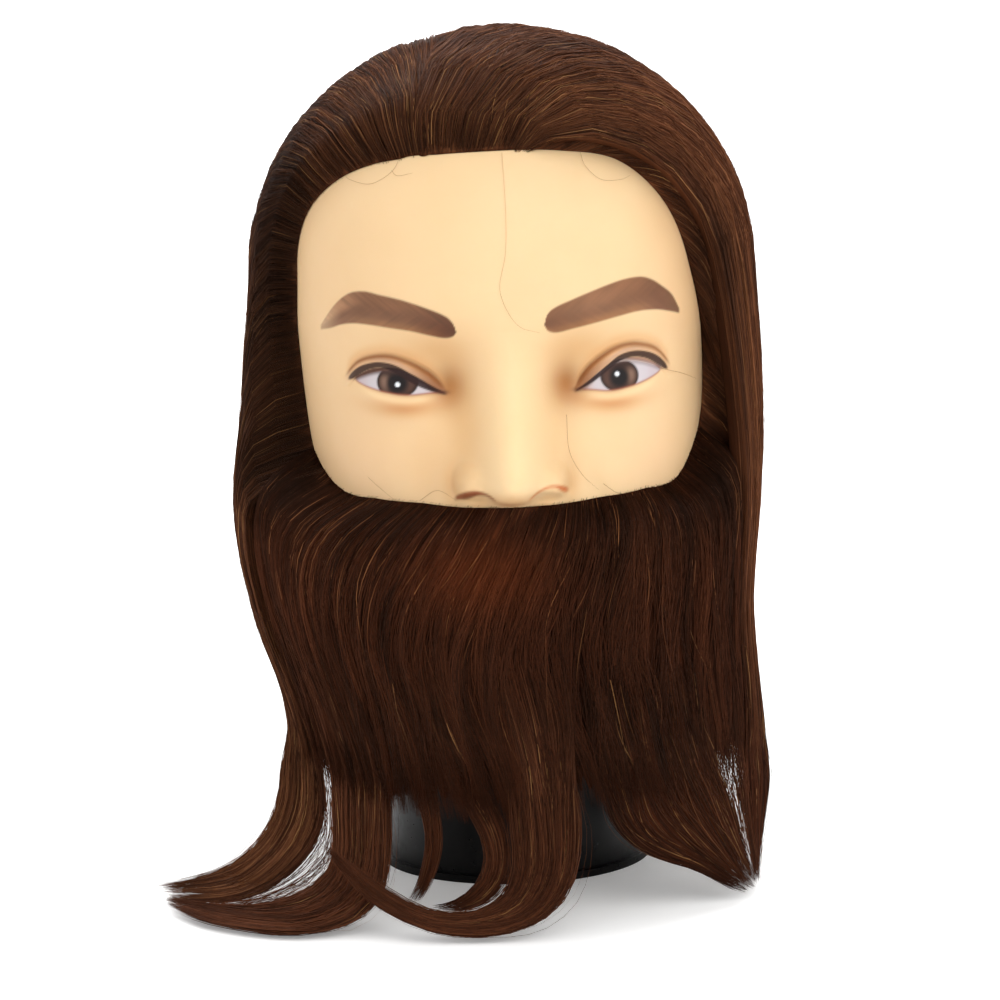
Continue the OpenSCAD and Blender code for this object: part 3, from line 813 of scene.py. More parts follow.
# ---------------------------------------------------------------- strands
def along_curve(control, t):
    """Catmull-Rom curves: control is (n, k, d) and t is (n, s) from 0 to 1."""
    n, k, _ = control.shape
    padded = np.concatenate([2 * control[:, :1] - control[:, 1:2], control,
                             2 * control[:, -1:] - control[:, -2:-1]], 1)
    f = np.clip(t, 0, 1) * (k - 1)
    i = np.minimum(f.astype(int), k - 2)
    w = (f - i)[..., None]
    rows = np.arange(n)[:, None]
    p0, p1, p2, p3 = (padded[rows, i + j] for j in range(4))
    return 0.5 * (2 * p1 + (p2 - p0) * w + (2 * p0 - 5 * p1 + 4 * p2 - p3) * w**2
                  + (3 * p1 - p0 - 3 * p2 + p3) * w**3)


def even_guides(guides, count=16):
    """The guides as one array: each is resampled to the same number of points."""
    out = []
    for guide in guides:
        g = np.array([(*p, 0.0) if len(p) == 3 else p for p in guide], float)
        fine = along_curve(g[None], np.linspace(0, 1, 400)[None])[0]
        run = np.concatenate([[0], np.cumsum(np.linalg.norm(np.diff(fine[:, :3], axis=0), axis=1))])
        even = np.linspace(0, run[-1], count)
        out.append(np.stack([np.interp(even, run, fine[:, j]) for j in range(4)], -1))
    return np.array(out)


def between_guides(guides, u, t):
    """Points at share t along the curve that lies at u between neighbouring guides."""
    shape = t.shape
    across = along_curve_at(guides, u.reshape(-1))
    return along_curve(across, t.reshape(-1, 1))[:, 0].reshape(*shape, -1)


def along_curve_at(guides, u):
    """The curve at u between the guides, as control points, smooth from guide to guide."""
    last = len(guides) - 1
    i = np.clip(np.floor(u).astype(int), 0, last - 1)
    w = (u - i)[:, None, None]
    p1, p2 = guides[i], guides[i + 1]
    p0, p3 = guides[np.maximum(i - 1, 0)], guides[np.minimum(i + 2, last)]
    m1, m2 = (p2 - p0) / 2, (p3 - p1) / 2
    return ((2 * w**3 - 3 * w**2 + 1) * p1 + (w**3 - 2 * w**2 + w) * m1
            + (3 * w**2 - 2 * w**3) * p2 + (w**3 - w**2) * m2)


def root(x, z, behind=False):
    """The point of the vinyl at x and z, in front or behind."""
    front, back, half = skull_reach(np.array(float(z)))
    s = float(dome(np.array(float(z)), HEAD_TOP))
    share = min(abs(x) / (half * s), 0.999) ** (1 / SQUARENESS)
    depth = (back if behind else -front) * s * math.cos(math.asin(share)) ** SQUARENESS
    return (x, float(depth), z)


def top_root(x, y):
    """The point of the vinyl's dome above x and y."""
    front, back, half = skull_reach(np.array(DOME_Z))
    q = 2 / SQUARENESS
    flat = (abs(x / half) ** q + abs(y / (front if y < 0 else back)) ** q) ** (2 / q)
    return (x, y, DOME_Z + (HEAD_TOP - DOME_Z) * math.sqrt(1 - float(flat)))


def streaks(seed, u, t, cells, rows=7):
    """Smooth noise from -1 to 1 over u (0 to 1), slowly changing with t (0 to 1)."""
    lattice = np.random.default_rng(seed).uniform(-1, 1, (rows + 1, cells + 2))
    fu, ft = np.clip(u, 0, 1) * cells, np.clip(t, 0, 1) * (rows - 1)
    i, j = fu.astype(int), ft.astype(int)
    wu, wt = smooth(fu - i), smooth(ft - j)
    low = lattice[j, i] * (1 - wu) + lattice[j, i + 1] * wu
    high = lattice[j + 1, i] * (1 - wu) + lattice[j + 1, i + 1] * wu
    return low * (1 - wt) + high * wt


def layered(seed, u, t, layers, rows=7):
    """Streaks of several widths added up: layers holds the cells and the size of each."""
    return sum(streaks(seed + k, u, t, cells, rows) * size
               for k, (cells, size) in enumerate(layers))


def shade_of(shades, mix):
    """Colour from a row of shades, mix from 0 to 1."""
    ladder = np.array([linear(c) for c in shades])
    m = np.clip(mix, 0, 1) * (len(ladder) - 1)
    i = np.minimum(m.astype(int), len(ladder) - 2)
    return ladder[i] + (ladder[i + 1] - ladder[i]) * (m - i)[..., None]


# Hair colours from dark to light.
SCALP_SHADES = [(38, 20, 12), (70, 39, 24), (108, 65, 41), (156, 105, 69)]
BEARD_SHADES = [(28, 13, 8), (48, 24, 14), (74, 38, 22), (104, 60, 36)]
LOCK_SHADES = [(38, 20, 12), (66, 36, 23), (100, 58, 38), (138, 88, 58)]
SWEEP_SHADES = [(50, 28, 17), (84, 50, 32), (122, 77, 50), (162, 114, 76)]
# The colours of the short glints, painted highlights on some strands.
GLINT_TONE = (188, 138, 88)
BEARD_GLINT_TONE = (168, 112, 72)


# Strands keep this far clear of the vinyl.
CLEARANCE = 0.3


def flow_depth(p, depth, run, rise):
    """Depth under the hair's surface, starting on the vinyl and reaching depth after rise."""
    gap = np.maximum(skin_gap(p), 0)
    rooted = np.exp(-((run / rise) ** 1.3))
    lifted = depth + (gap[:, :1] - CLEARANCE - depth) * rooted
    return np.minimum(lifted, gap - CLEARANCE)


def run_along(p):
    """Distance from the root along each strand."""
    step = np.linalg.norm(np.diff(p, axis=1), axis=-1)
    return np.concatenate([np.zeros((len(p), 1)), np.cumsum(step, 1)], 1)


# Distances from the root of the first points of a strand.
ROOT_RUNS = np.array([0, 1.5, 3.5, 6, 9.5, 14])


def spacing(samples, length):
    """Shares along strands of the given mean length: closest together at the root."""
    close = ROOT_RUNS / length
    return np.concatenate([close, np.linspace(close[-1], 1, samples - len(close) + 1)[1:]])


def shade_by_place(tint, p):
    """Painted light on the hair: a warm painted highlight below the nose, painted light on the right of
    the crown, painted shade on the left side and beside the right of the face, and darker low down at the
    front.
    """
    x, y, z = p[..., 0], p[..., 1], p[..., 2]
    front = smooth((-y - 60) / 30)
    # Painted highlight: warm, below the nose.
    warm_highlight = bell(x + 9, 19) * bell(z - 115, 12) * front
    tint = wash(tint, (128, 62, 30), 0.42 * warm_highlight)
    low = front * smooth((96 - z) / 30) * smooth((z - 30) / 20)
    # Painted shade over the left side and painted shadow in the band beside the right of the face.
    left = smooth((-x - 58) / 14) * smooth((-y - 8) / 20) * smooth((z - 120) / 30)
    right = bell(x - 72, 9) * smooth((-y - 38) / 12) * smooth((z - 115) / 25) * smooth((240 - z) / 20)
    # Painted light on the right of the crown.
    crown = bell(x - 58, 26) * smooth((z - 215) / 30)
    return tint * (1 - 0.26 * low - 0.56 * left - 0.50 * right + 0.14 * crown)[..., None]


def clump_flow(rng, clumps, clump, t, tight, wave):
    """The pull towards a clump's middle, the clump's sway and its rolling layers."""
    hold = rng.uniform(0.3, 1.0, clumps)[clump] * tight
    pull = hold[:, None] * smooth(t * 1.15)
    phase = rng.uniform(0, FULL_TURN, (clumps, 2))[clump]
    bends = rng.uniform(0.6, 1.4, clumps)[clump]
    sway = wave * smooth(t * 1.5) * np.sin(FULL_TURN * bends[:, None] * t + phase[:, :1])
    rolling = 0.5 + 0.5 * np.sin(FULL_TURN * bends[:, None] * 1.3 * t + phase[:, 1:])
    return pull, sway, rolling


def own_ripple(rng, t, fuzz):
    """Each strand's own small wave."""
    count = len(t)
    phase = rng.uniform(0, FULL_TURN, count)[:, None]
    size = fuzz * rng.normal(1, 0.6, count)[:, None]
    bends = rng.uniform(0.6, 2, count)[:, None]
    return size * np.sin(FULL_TURN * bends * t + phase) * smooth(t * 3)


def strand_tint(rng, clumps, clump, run, depth, shades, variety, glint_share, glow, glint_colour):
    """A tone for each clump and strand, with painted shade at the root and deep down, and short painted
    glints.
    """
    count = len(run)
    mix = 0.45 + rng.normal(0, 0.10, clumps)[clump] + rng.normal(0, variety, count)
    colour = shade_of(shades, mix)
    # Painted highlight: short glints on a share of the strands.
    light = (rng.random(count) < glint_share)[:, None] * rng.uniform(0.3, 0.9, (count, 1))
    glint = light * bell(run - rng.uniform(4, glow, (count, 1)), rng.uniform(5, 13, (count, 1)))
    # Painted shade at the root and on the deeper layers.
    fade = 0.70 + 0.35 * smooth(run / 40)
    tint = colour[:, None] * (fade * (1 - 0.25 * np.clip(depth / 8, 0, 1)))[..., None]
    return wash(tint, glint_colour, glint)


def grow(seed, guides, count, reach=None, near=0.0, far=3.0, samples=22, start=(0.0, 0.03),
         end=(0.92, 1.0), width=(0.18, 0.36), clumps=40, tight=0.38, wave=0.07, fuzz=0.035, rise=8.0,
         shades=SCALP_SHADES, glint_share=0.12, glow=70, glint_colour=GLINT_TONE, lay=0.9, scatter=1.2,
         variety=0.14):
    """Strands that flow along guides: paths, widths and colours.

    Each guide point is (x, y, z, free). Where free is 0 the strand rides the hair's
    surface between near and far under it, and where free is 1 it goes where the guide goes.
    The strands grow between the two guides in reach, and begin and end within the shares
    start and end of the guides' length. They gather in clumps: tight is the pull to a clump's
    middle, wave its sway, lay the rolling of its layers, fuzz a strand's own wave and scatter
    how far a free strand strays. glint_share is the share of strands with a glint, a short
    painted highlight, which lies within glow millimetres of the root.
    """
    rng = np.random.default_rng(seed)
    guides = even_guides(guides)
    spans = len(guides) - 1
    first, last = reach or (0, spans)
    u0 = first + rng.random(count) * (last - first)
    share = (u0 - first) / (last - first)
    clump = np.minimum((share * clumps).astype(int), clumps - 1)
    centre_share = (clump + 0.5 + rng.uniform(-0.35, 0.35, clumps)[clump]) / clumps
    centre = first + centre_share * (last - first)
    middle = guides[len(guides) // 2, :, :3]
    line = spacing(samples, np.linalg.norm(np.diff(middle, axis=0), axis=1).sum())[None]
    t0 = rng.uniform(*start, count)[:, None]
    t1 = rng.uniform(*end, count)[:, None]
    t = t0 + (t1 - t0) * line
    pull, sway, rolling = clump_flow(rng, clumps, clump, t, tight, wave)
    ripple = own_ripple(rng, t, fuzz)
    u = np.clip(u0[:, None] + (centre - u0)[:, None] * pull + sway + ripple, 0, spans)
    flow = between_guides(guides, u, t)
    p, free = flow[..., :3], np.clip(flow[..., 3], 0, 1)
    across = np.abs(share - centre_share) * clumps
    layer = near + (far - near) * rng.random(count) ** 1.2
    run = run_along(p)
    depth = flow_depth(p, (layer + across**2)[:, None] + lay * rolling, run, rise)
    placed = on_hair(p, depth)
    drift = rng.normal(0, 1, (count, 1, 3)) * scatter * np.array([1, 1, 0.7])
    stray = smooth((free - 0.3) / 0.7)[..., None]
    path = placed + (p - placed) * free[..., None] + stray * drift * (1 - 0.5 * smooth(t))[..., None]
    path[..., 2] = np.maximum(path[..., 2], 0.8 + 3.0 * rng.random((count, 1)) ** 2)
    w0 = rng.uniform(*width, count)[:, None]
    w = w0 * (0.7 + 0.3 * smooth(line * 6)) * (1 - 0.85 * smooth((line - 0.78) / 0.22))
    tint = strand_tint(rng, clumps, clump, run, depth, shades, variety, glint_share, glow, glint_colour)
    return path, w, shade_by_place(tint, path)


def tube_points(path, w):
    """Three corners around each point of each strand."""
    tangent = np.gradient(path, axis=1)
    tangent /= np.maximum(np.linalg.norm(tangent, axis=-1, keepdims=True), 1e-9)
    side = np.cross(tangent, outward(path))
    side /= np.maximum(np.linalg.norm(side, axis=-1, keepdims=True), 1e-6)
    up = np.cross(side, tangent)
    corners = [path + 0.5 * w[..., None] * (math.cos(q) * side + 0.7 * math.sin(q) * up)
               for q in np.radians([90, 210, 330])]
    return np.stack(corners, 2).reshape(-1, 3)


def tube_faces(n, s, first):
    """Quads along n tubes of s rings each, and the triangles over their ends."""
    i, r, k = np.meshgrid(np.arange(n), np.arange(s - 1), np.arange(3), indexing="ij")
    low = first + (i * s + r) * 3
    after = (k + 1) % 3
    quads = np.stack([low + k, low + 3 + k, low + 3 + after, low + after], -1).reshape(-1, 4)
    base = first + np.arange(n) * s * 3
    tip = base + (s - 1) * 3
    ends = [np.stack([base, base + 1, base + 2], -1), np.stack([tip, tip + 2, tip + 1], -1)]
    return quads, np.concatenate(ends)


def tube_layout(n, s, strand, across, down):
    """Texture layout of n tubes: each has its own cell, counted from the given strand."""
    i, r, k = np.meshgrid(np.arange(n), np.arange(s - 1), np.arange(3), indexing="ij")
    cell = strand + i
    u0, v0 = (cell % across) / across, (cell // across) / down
    du, dv = 0.8 / across / 3, 0.9 / down / (s - 1)
    ul, ur = u0 + k * du, u0 + (k + 1) * du
    vl, vh = v0 + r * dv, v0 + (r + 1) * dv
    sides = np.stack([ul, vl, ul, vh, ur, vh, ur, vl], -1).reshape(-1, 2)
    cells = strand + np.tile(np.arange(n), 2)
    corner = np.stack([(cells % across + 0.1) / across, (cells // across + 0.1) / down], -1)
    return sides, np.repeat(corner, 3, 0)


def strand_mesh(name, batches):
    """Closed three-sided tubes for batches of strands, with a tint and a bake layout."""
    total = sum(len(path) for path, _, _ in batches)
    across = math.ceil(math.sqrt(total * 2.2))
    down = math.ceil(total / across)
    made = []
    first, strand = 0, 0
    for path, w, tint in batches:
        n, s, _ = path.shape
        colours = np.repeat(tint.reshape(-1, 3), 3, 0)
        made.append((tube_points(path, w), colours, *tube_faces(n, s, first),
                     *tube_layout(n, s, strand, across, down)))
        first += n * s * 3
        strand += n
    points, colours, quads, ends, side_uv, end_uv = (np.concatenate(parts) for parts in zip(*made))
    obj = new_mesh(name, points, quads, ends)
    set_tint(obj, colours)
    set_bake_uv(obj, np.concatenate([side_uv, end_uv]))
    return obj


def sheet_quads(index):
    """Quads between the points of a grid of point numbers."""
    corners = [index[:-1, :-1], index[1:, :-1], index[1:, 1:], index[:-1, 1:]]
    return np.stack(corners, -1).reshape(-1, 4)


def sheet_mesh(name, outer, inner, colours):
    """Closed sheet between two grids of points that share their border."""
    cols, rows = colours.shape[:2]
    index = np.arange(cols * rows).reshape(cols, rows)
    inside = np.zeros((cols, rows), bool)
    inside[1:-1, 1:-1] = True
    under = index.copy()
    under[inside] = cols * rows + np.arange(inside.sum())
    points = np.concatenate([outer.reshape(-1, 3), inner[inside]])
    obj = new_mesh(name, points, np.concatenate([sheet_quads(index), sheet_quads(under)[:, ::-1]]))
    # The inner face is painted darker: painted shade under the sheet.
    set_tint(obj, np.concatenate([colours.reshape(-1, 3), colours[inside] * 0.6]))
    c, r = np.meshgrid(np.arange(cols - 1), np.arange(rows - 1), indexing="ij")
    left, right = c / (cols - 1) * 0.49, (c + 1) / (cols - 1) * 0.49
    low, high = r / (rows - 1), (r + 1) / (rows - 1)
    cell = np.stack([left, low, right, low, right, high, left, high], -1).reshape(-1, 4, 2)
    set_bake_uv(obj, np.concatenate([cell, cell[:, ::-1] + [0.5, 0]]).reshape(-1, 2))
    return obj


def hair_mass(name, seed, guides, reach=None, cols=420, rows=64, depth=2.6, thick=4.0, end=0.96,
              ragged=0.07, rise=14.0, shades=SCALP_SHADES, ridge=0.7, loose=4.0):
    """The combed body of the hair under the strands: a closed, ridged, streaked sheet, with painted shade
    towards the roots.

    It lies depth under the hair's surface and thick is its thickness. Where the guides are
    free it is at most loose thick on either side of them. ragged is how uneven its lower end
    is, and ridge the height of its ridges.
    """
    guides = even_guides(guides)
    first, last = reach or (0, len(guides) - 1)
    shares, steps = np.linspace(0, 1, cols), np.linspace(0, 1, rows) ** 1.35
    share, s = np.meshgrid(shares, steps, indexing="ij")
    teeth = layered(seed, share, share * 0, [(cols // 12, 1), (cols // 3, 1)], 1)
    t = s * (end - ragged * (0.5 + 0.25 * teeth))
    flow = between_guides(guides, first + share * (last - first), t)
    p, free = flow[..., :3], np.clip(flow[..., 3], 0, 1)[..., None]
    lumps = layered(seed + 1, share, t, [(cols // 26, 0.6), (cols // 9, 0.4), (cols // 4, 0.25)])
    run = run_along(p)
    from_side = np.minimum(share, 1 - share) * cols / 6
    from_end = np.minimum(s * rows, (1 - s) * rows / 3)
    body = thick * np.sqrt(np.clip(np.minimum(from_side, from_end), 0, 1))
    outer_depth = flow_depth(p, depth + ridge * lumps * smooth(run / 12), run, rise)
    deepest = np.maximum(np.maximum(skin_gap(p), 0) - 0.15, outer_depth)
    inner_depth = np.minimum(outer_depth + body, deepest)
    facing, half = outward(p), np.minimum(body * 0.5, loose)
    outer, inner = on_hair(p, outer_depth), on_hair(p, inner_depth)
    outer = outer + (p + facing * (half - ridge * lumps * 0.4)[..., None] - outer) * free
    inner = inner + (p - facing * (half + ridge * lumps * 0.4)[..., None] - inner) * free
    outer[..., 2] = np.maximum(outer[..., 2], 1.2)
    inner[..., 2] = np.maximum(inner[..., 2], 0.8)
    fine = layered(seed + 10, share, t, [(cols // 20, 0.12), (cols // 7, 0.16), (cols // 2, 0.20)], 5)
    # Painted shade: darker towards the roots.
    tone = shade_of(shades, 0.42 + fine + 0.10 * lumps) * (0.62 + 0.38 * smooth(run / 30))[..., None]
    return sheet_mesh(name, outer, inner, shade_by_place(tone, outer))


# ---------------------------------------------------------------- hair flows
# Each family is a row of neighbouring guides. A guide starts at its root on the vinyl and
# follows the way the hair is combed. Points are in millimetres, x to the right, y back.
HAIR_LEFT = [
    [root(-62, 146), (-74, -38, 136), (-82, -40, 122), (-85, -42, 106), (-82, -46, 90), (-77, -50, 74),
     (-73, -52, 58), (-70, -53, 44)],
    [root(-67, 155), (-80, -34, 146), (-88, -32, 132), (-92, -30, 116), (-89, -32, 98), (-83, -36, 80),
     (-78, -40, 62), (-75, -42, 46)],
    [root(-70, 180), (-82, -36, 174), (-90, -26, 158), (-95, -20, 138), (-96, -18, 118), (-90, -20, 96),
     (-83, -24, 76), (-78, -28, 56), (-77, -30, 40)],
    [root(-70.5, 205), (-80, -40, 205), (-87, -30, 193), (-93, -16, 166), (-97, -8, 138), (-94, -6, 112),
     (-87, -8, 86), (-80, -12, 60), (-78, -14, 34)],
    [root(-69, 225), (-77, -46, 229), (-84, -33, 224), (-90, -14, 204), (-94, 0, 178), (-96, 6, 148),
     (-95, 8, 118), (-87, 8, 88), (-80, 6, 58), (-78, 6, 25)],
    [root(-64, 236), (-71, -52, 243), (-79, -36, 244), (-86, -12, 232), (-91, 6, 208), (-94, 14, 172),
     (-93, 18, 130), (-86, 18, 90), (-79, 18, 50), (-78, 18, 20)],
    [root(-54, 244), (-61, -62, 253), (-69, -46, 260), (-77, -20, 260), (-83, 6, 245), (-88, 24, 218),
     (-90, 34, 180), (-90, 38, 140), (-84, 38, 95), (-77, 38, 50), (-76, 38, 20)],
    [root(-42, 248), (-49, -69, 260), (-58, -52, 269), (-68, -24, 274), (-75, 10, 269), (-80, 42, 247),
     (-82, 60, 212), (-84, 66, 170), (-80, 68, 110), (-74, 68, 55), (-72, 68, 18)],
    [root(-34, 249), (-39, -75, 266), (-46, -58, 278), (-55, -22, 285), (-62, 16, 281), (-67, 50, 262),
     (-70, 74, 230), (-70, 84, 185), (-68, 86, 120), (-65, 86, 60), (-62, 86, 15)],
    [root(-30, 249.8), (-33, -78, 268), (-37, -62, 282), (-44, -26, 292), (-50, 16, 290), (-53, 54, 273),
     (-55, 83, 242), (-54, 95, 195), (-52, 98, 125), (-51, 98, 60), (-50, 97, 14)],
    [root(-27, 250.0), (-29, -80, 268), (-31, -64, 285), (-34, -28, 297), (-38, 16, 296), (-40, 58, 280),
     (-41, 90, 248), (-40, 104, 200), (-38, 107, 130), (-37, 107, 60), (-36, 105, 14)],
]
# The combed rows part above the left brow; this row lies a little deeper and closes the parting.
HAIR_MIDDLE = HAIR_LEFT[8:] + [
    [root(-20, 249.9), (-21, -80, 268), (-20, -64, 286), (-18, -28, 299), (-18, 16, 300), (-19, 58, 284),
     (-20, 91, 250), (-20, 106, 200), (-20, 109, 130), (-20, 109, 60), (-20, 107, 14)],
    [root(-6, 250.3), (-4, -82, 268), (1, -66, 287), (10, -28, 300), (14, 16, 300), (12, 60, 283),
     (8, 93, 252), (4, 108, 200), (2, 112, 130), (1, 112, 60), (0, 110, 14)],
    [root(12, 250.5), (17, -83, 271), (26, -62, 289), (42, -20, 293), (48, 20, 288), (44, 62, 270),
     (36, 92, 240), (30, 104, 195), (26, 108, 130), (24, 108, 60), (22, 107, 14)],
]
EDGE_RIGHT = [
    [root(62, 147), (72, -44, 134), (78, -47, 118), (81, -50, 100), (81, -52, 82), (81, -54, 64),
     (81, -56, 46)],
    [root(67, 165), (76, -42, 150), (81, -42, 132), (83, -44, 110), (83, -46, 88), (83, -48, 66),
     (84, -50, 44)],
    [root(67, 190), (74, -48, 176), (80, -44, 156), (84, -42, 132), (85, -42, 106), (84, -43, 80),
     (85, -45, 46)],
    [root(62, 213), (69, -60, 204), (76, -52, 184), (82, -46, 158), (85, -42, 130), (85, -41, 100),
     (84, -41, 70), (86, -42, 40)],
    [root(53, 234), (61, -67, 230), (70, -59, 212), (78, -50, 186), (83, -44, 158), (86, -40, 126),
     (85, -38, 90), (86, -38, 44)],
    [root(38, 247), (48, -75, 247), (60, -67, 236), (70, -57, 214), (78, -48, 186), (83, -42, 156),
     (86, -38, 122), (86, -36, 84), (87, -36, 40)],
    [root(20, 250), (34, -80, 256), (50, -72, 252), (64, -60, 236), (74, -50, 210), (81, -42, 178),
     (86, -36, 144), (87, -34, 104), (87, -34, 64), (89, -34, 34)],
    [root(4, 250.5), (20, -83, 258), (40, -75, 259), (60, -62, 246), (73, -50, 220), (81, -41, 186),
     (86, -34, 150), (88, -32, 108), (88, -32, 66), (89, -32, 34)],
]
HAIR_RIGHT = [
    [root(8, 250.5), (20, -85, 255), (38, -79, 251.5), (53, -71, 241), (62.5, -64, 225), (69, -59, 204),
     (73, -55, 181), (77, -53, 156), (80, -52, 130), (82, -53, 105), (83, -55, 80), (82, -57, 46)],
    [root(5, 250.5), (18, -83, 264), (42, -72, 266), (60, -60, 254), (72, -50, 232), (80, -43, 202),
     (84, -39, 170), (86, -37, 138), (86, -37, 105), (86, -38, 72), (88, -40, 36)],
    [root(2, 251), (14, -83, 270), (40, -66, 278), (62, -46, 268), (77, -30, 244), (86, -20, 208),
     (90, -15, 168), (90, -14, 125), (88, -14, 85), (90, -16, 28)],
    [root(-9, 250.4), (-4, -84, 268), (14, -72, 286), (40, -46, 290), (66, -18, 271), (81, -4, 238),
     (88, 4, 200), (92, 8, 150), (88, 9, 92), (89, 7, 24)],
    [root(-20, 250.6), (-19, -82, 267), (-10, -70, 286), (14, -42, 299), (46, -6, 292), (70, 14, 262),
     (84, 24, 216), (90, 28, 160), (87, 30, 90), (86, 30, 19)],
    [root(-28, 251.4), (-29, -80, 266), (-25, -66, 284), (-8, -34, 299), (22, 6, 300), (52, 34, 280),
     (71, 46, 240), (82, 50, 190), (83, 50, 140), (80, 50, 88), (80, 50, 18)],
    [top_root(-30, -50), (-25, -38, 296), (-8, -4, 302), (20, 36, 296), (46, 62, 272), (63, 74, 232),
     (70, 78, 180), (70, 78, 120), (67, 78, 70), (66, 78, 17)],
    [top_root(-30, -16), (-26, -2, 297), (-12, 30, 297), (10, 66, 280), (28, 90, 246), (38, 100, 200),
     (42, 104, 150), (42, 104, 100), (40, 104, 55), (39, 104, 16)],
    [top_root(-30, 20), (-27, 34, 293), (-17, 62, 284), (-3, 90, 258), (8, 104, 222), (14, 110, 176),
     (16, 112, 130), (16, 112, 80), (15, 111, 16)],
    [top_root(-32, 50), (-29, 66, 280), (-22, 88, 260), (-13, 104, 232), (-7, 110, 196), (-4, 113, 160),
     (-2, 114, 110), (-2, 114, 60), (-2, 112, 14)],
    [root(-40, 258, True), (-38, 90, 250), (-33, 101, 228), (-28, 107, 198), (-24, 111, 160),
     (-22, 112, 110), (-21, 112, 60), (-20, 110, 14)],
]
BEARD = [
    [root(-67, 154), (-76, -46, 138), (-82, -50, 120), (-82, -54, 102), (-78, -58, 84), (-73, -60, 66),
     (-68, -62, 44)],
    [root(-62, 146), (-72, -54, 132), (-77, -60, 114), (-76, -64, 96), (-71, -68, 78), (-66, -70, 60),
     (-61, -72, 42)],
    [root(-55, 140.5), (-66, -64, 128), (-73, -67, 111), (-73, -70, 94), (-68, -73, 76), (-62, -76, 58),
     (-57, -78, 40)],
    [root(-44, 138.5), (-56, -76, 126), (-64, -78, 109), (-64, -80, 92), (-59, -82, 75), (-54, -85, 56),
     (-49, -86, 38)],
    [root(-30, 137.4), (-41, -88, 125), (-50, -90, 108), (-52, -92, 91), (-48, -94, 74), (-44, -95, 55),
     (-41, -96, 37)],
    [root(-15, 136.2), (-24, -98, 123), (-33, -100, 106), (-36, -101, 89), (-32, -103, 72),
     (-28, -104, 54), (-24, -104, 36)],
    [root(0, 136.6), (-7, -102, 122), (-15, -103, 105), (-19, -105, 88), (-17, -106, 70), (-12, -107, 53),
     (-8, -107, 35)],
    [root(14, 136.4), (9, -101, 122), (2, -104, 104), (-2, -106, 87), (-1, -107, 70), (3, -108, 53),
     (6, -108, 35)],
    [root(29, 137.6), (28, -95, 123), (24, -99, 105), (21, -101, 87), (22, -103, 70), (25, -103, 54),
     (28, -102, 38)],
    [root(45, 139.5), (48, -85, 126), (48, -89, 108), (47, -91, 90), (48, -92, 72), (50, -92, 54),
     (52, -90, 37)],
    [root(57, 143), (64, -68, 130), (67, -72, 112), (68, -75, 94), (69, -76, 76), (71, -77, 57),
     (72, -78, 38)],
    [root(66, 158), (74, -50, 140), (79, -54, 122), (82, -56, 104), (82, -58, 86), (82, -60, 66),
     (81, -62, 44)],
]
# Loose locks at the ends. The fourth value frees them from the hair's outer surface.
LOCK_SWEEP_LEFT = [
    [(-92, -22, 100), (-88.5, -30, 72), (-82, -38, 56, 0.5), (-81, -44, 42, 1), (-82.5, -48, 31, 1),
     (-88, -51, 20, 1), (-97, -54, 12, 1), (-110, -58, 8, 1), (-124, -60, 6.5, 1)],
    [(-88, -33, 99), (-83, -39, 73), (-76, -44, 55, 0.5), (-74.5, -47, 42, 1), (-75, -51, 31, 1),
     (-79, -55, 20.5, 1), (-87, -60, 12, 1), (-99, -65, 6.5, 1), (-122, -62, 5, 1)],
    [(-84, -44, 98), (-77, -48, 74), (-70, -50, 54, 0.5), (-68.5, -51, 42, 1), (-67.5, -55, 31, 1),
     (-69.5, -60, 22, 1), (-76, -66, 13.5, 1), (-88, -70, 6, 1), (-103, -72, 3.5, 1), (-120, -66, 3, 1)],
]
LOCK_LOW_LEFT = [
    [(-72, -62, 90), (-66, -68, 64), (-62, -73, 43, 0.6), (-61, -79, 30, 1), (-62, -86, 18, 1),
     (-70, -88, 10.5, 1), (-84, -86, 5.5, 1), (-101, -80, 3.5, 1), (-120, -68, 4, 1)],
    [(-62, -72, 90), (-56, -78, 64), (-53, -83, 44, 0.6), (-52.5, -87, 30, 1), (-54, -94, 17, 1),
     (-63, -99, 8, 1), (-78, -96, 4, 1), (-97, -86, 3.5, 1), (-120, -69, 3.5, 1)],
    [(-50, -82, 90), (-46, -87, 64), (-43, -91, 46, 0.6), (-43.5, -94, 31, 1), (-44.5, -98, 19, 1),
     (-49, -104, 9, 1), (-60, -108, 4, 1), (-74, -109, 2, 1), (-90, -103, 2.5, 1), (-106, -91, 3, 1),
     (-119, -73, 3.5, 1)],
]
LOCK_CENTRE = [
    [(-14, -103, 90), (-9, -106, 68), (-4, -107, 50, 0.5), (-2.5, -109, 36, 1), (-1.5, -110, 25, 1),
     (-5, -113, 14, 1), (-16, -115, 8, 1), (-29, -115, 8.5, 1), (-40, -113, 13, 1), (-51, -109, 20, 1),
     (-63, -102, 28.5, 1)],
    [(0, -105, 90), (5, -107, 68), (7.5, -109, 50, 0.5), (8, -111, 36, 1), (8, -113, 23, 1),
     (3, -116, 11, 1), (-12, -118, 5.5, 1), (-29, -117, 6.2, 1), (-40, -114, 10.5, 1),
     (-51, -110, 17.5, 1), (-63, -102, 28, 1)],
    [(14, -106, 90), (17, -108, 68), (17.5, -109, 50, 0.5), (17.5, -112, 32, 1), (15.5, -114, 20.5, 1),
     (10, -117, 11.5, 1), (-1, -119, 5, 1), (-16, -119, 3, 1), (-29, -118, 4.6, 1), (-40, -115, 8.5, 1),
     (-51, -111, 15, 1), (-63, -102, 27.5, 1)],
]
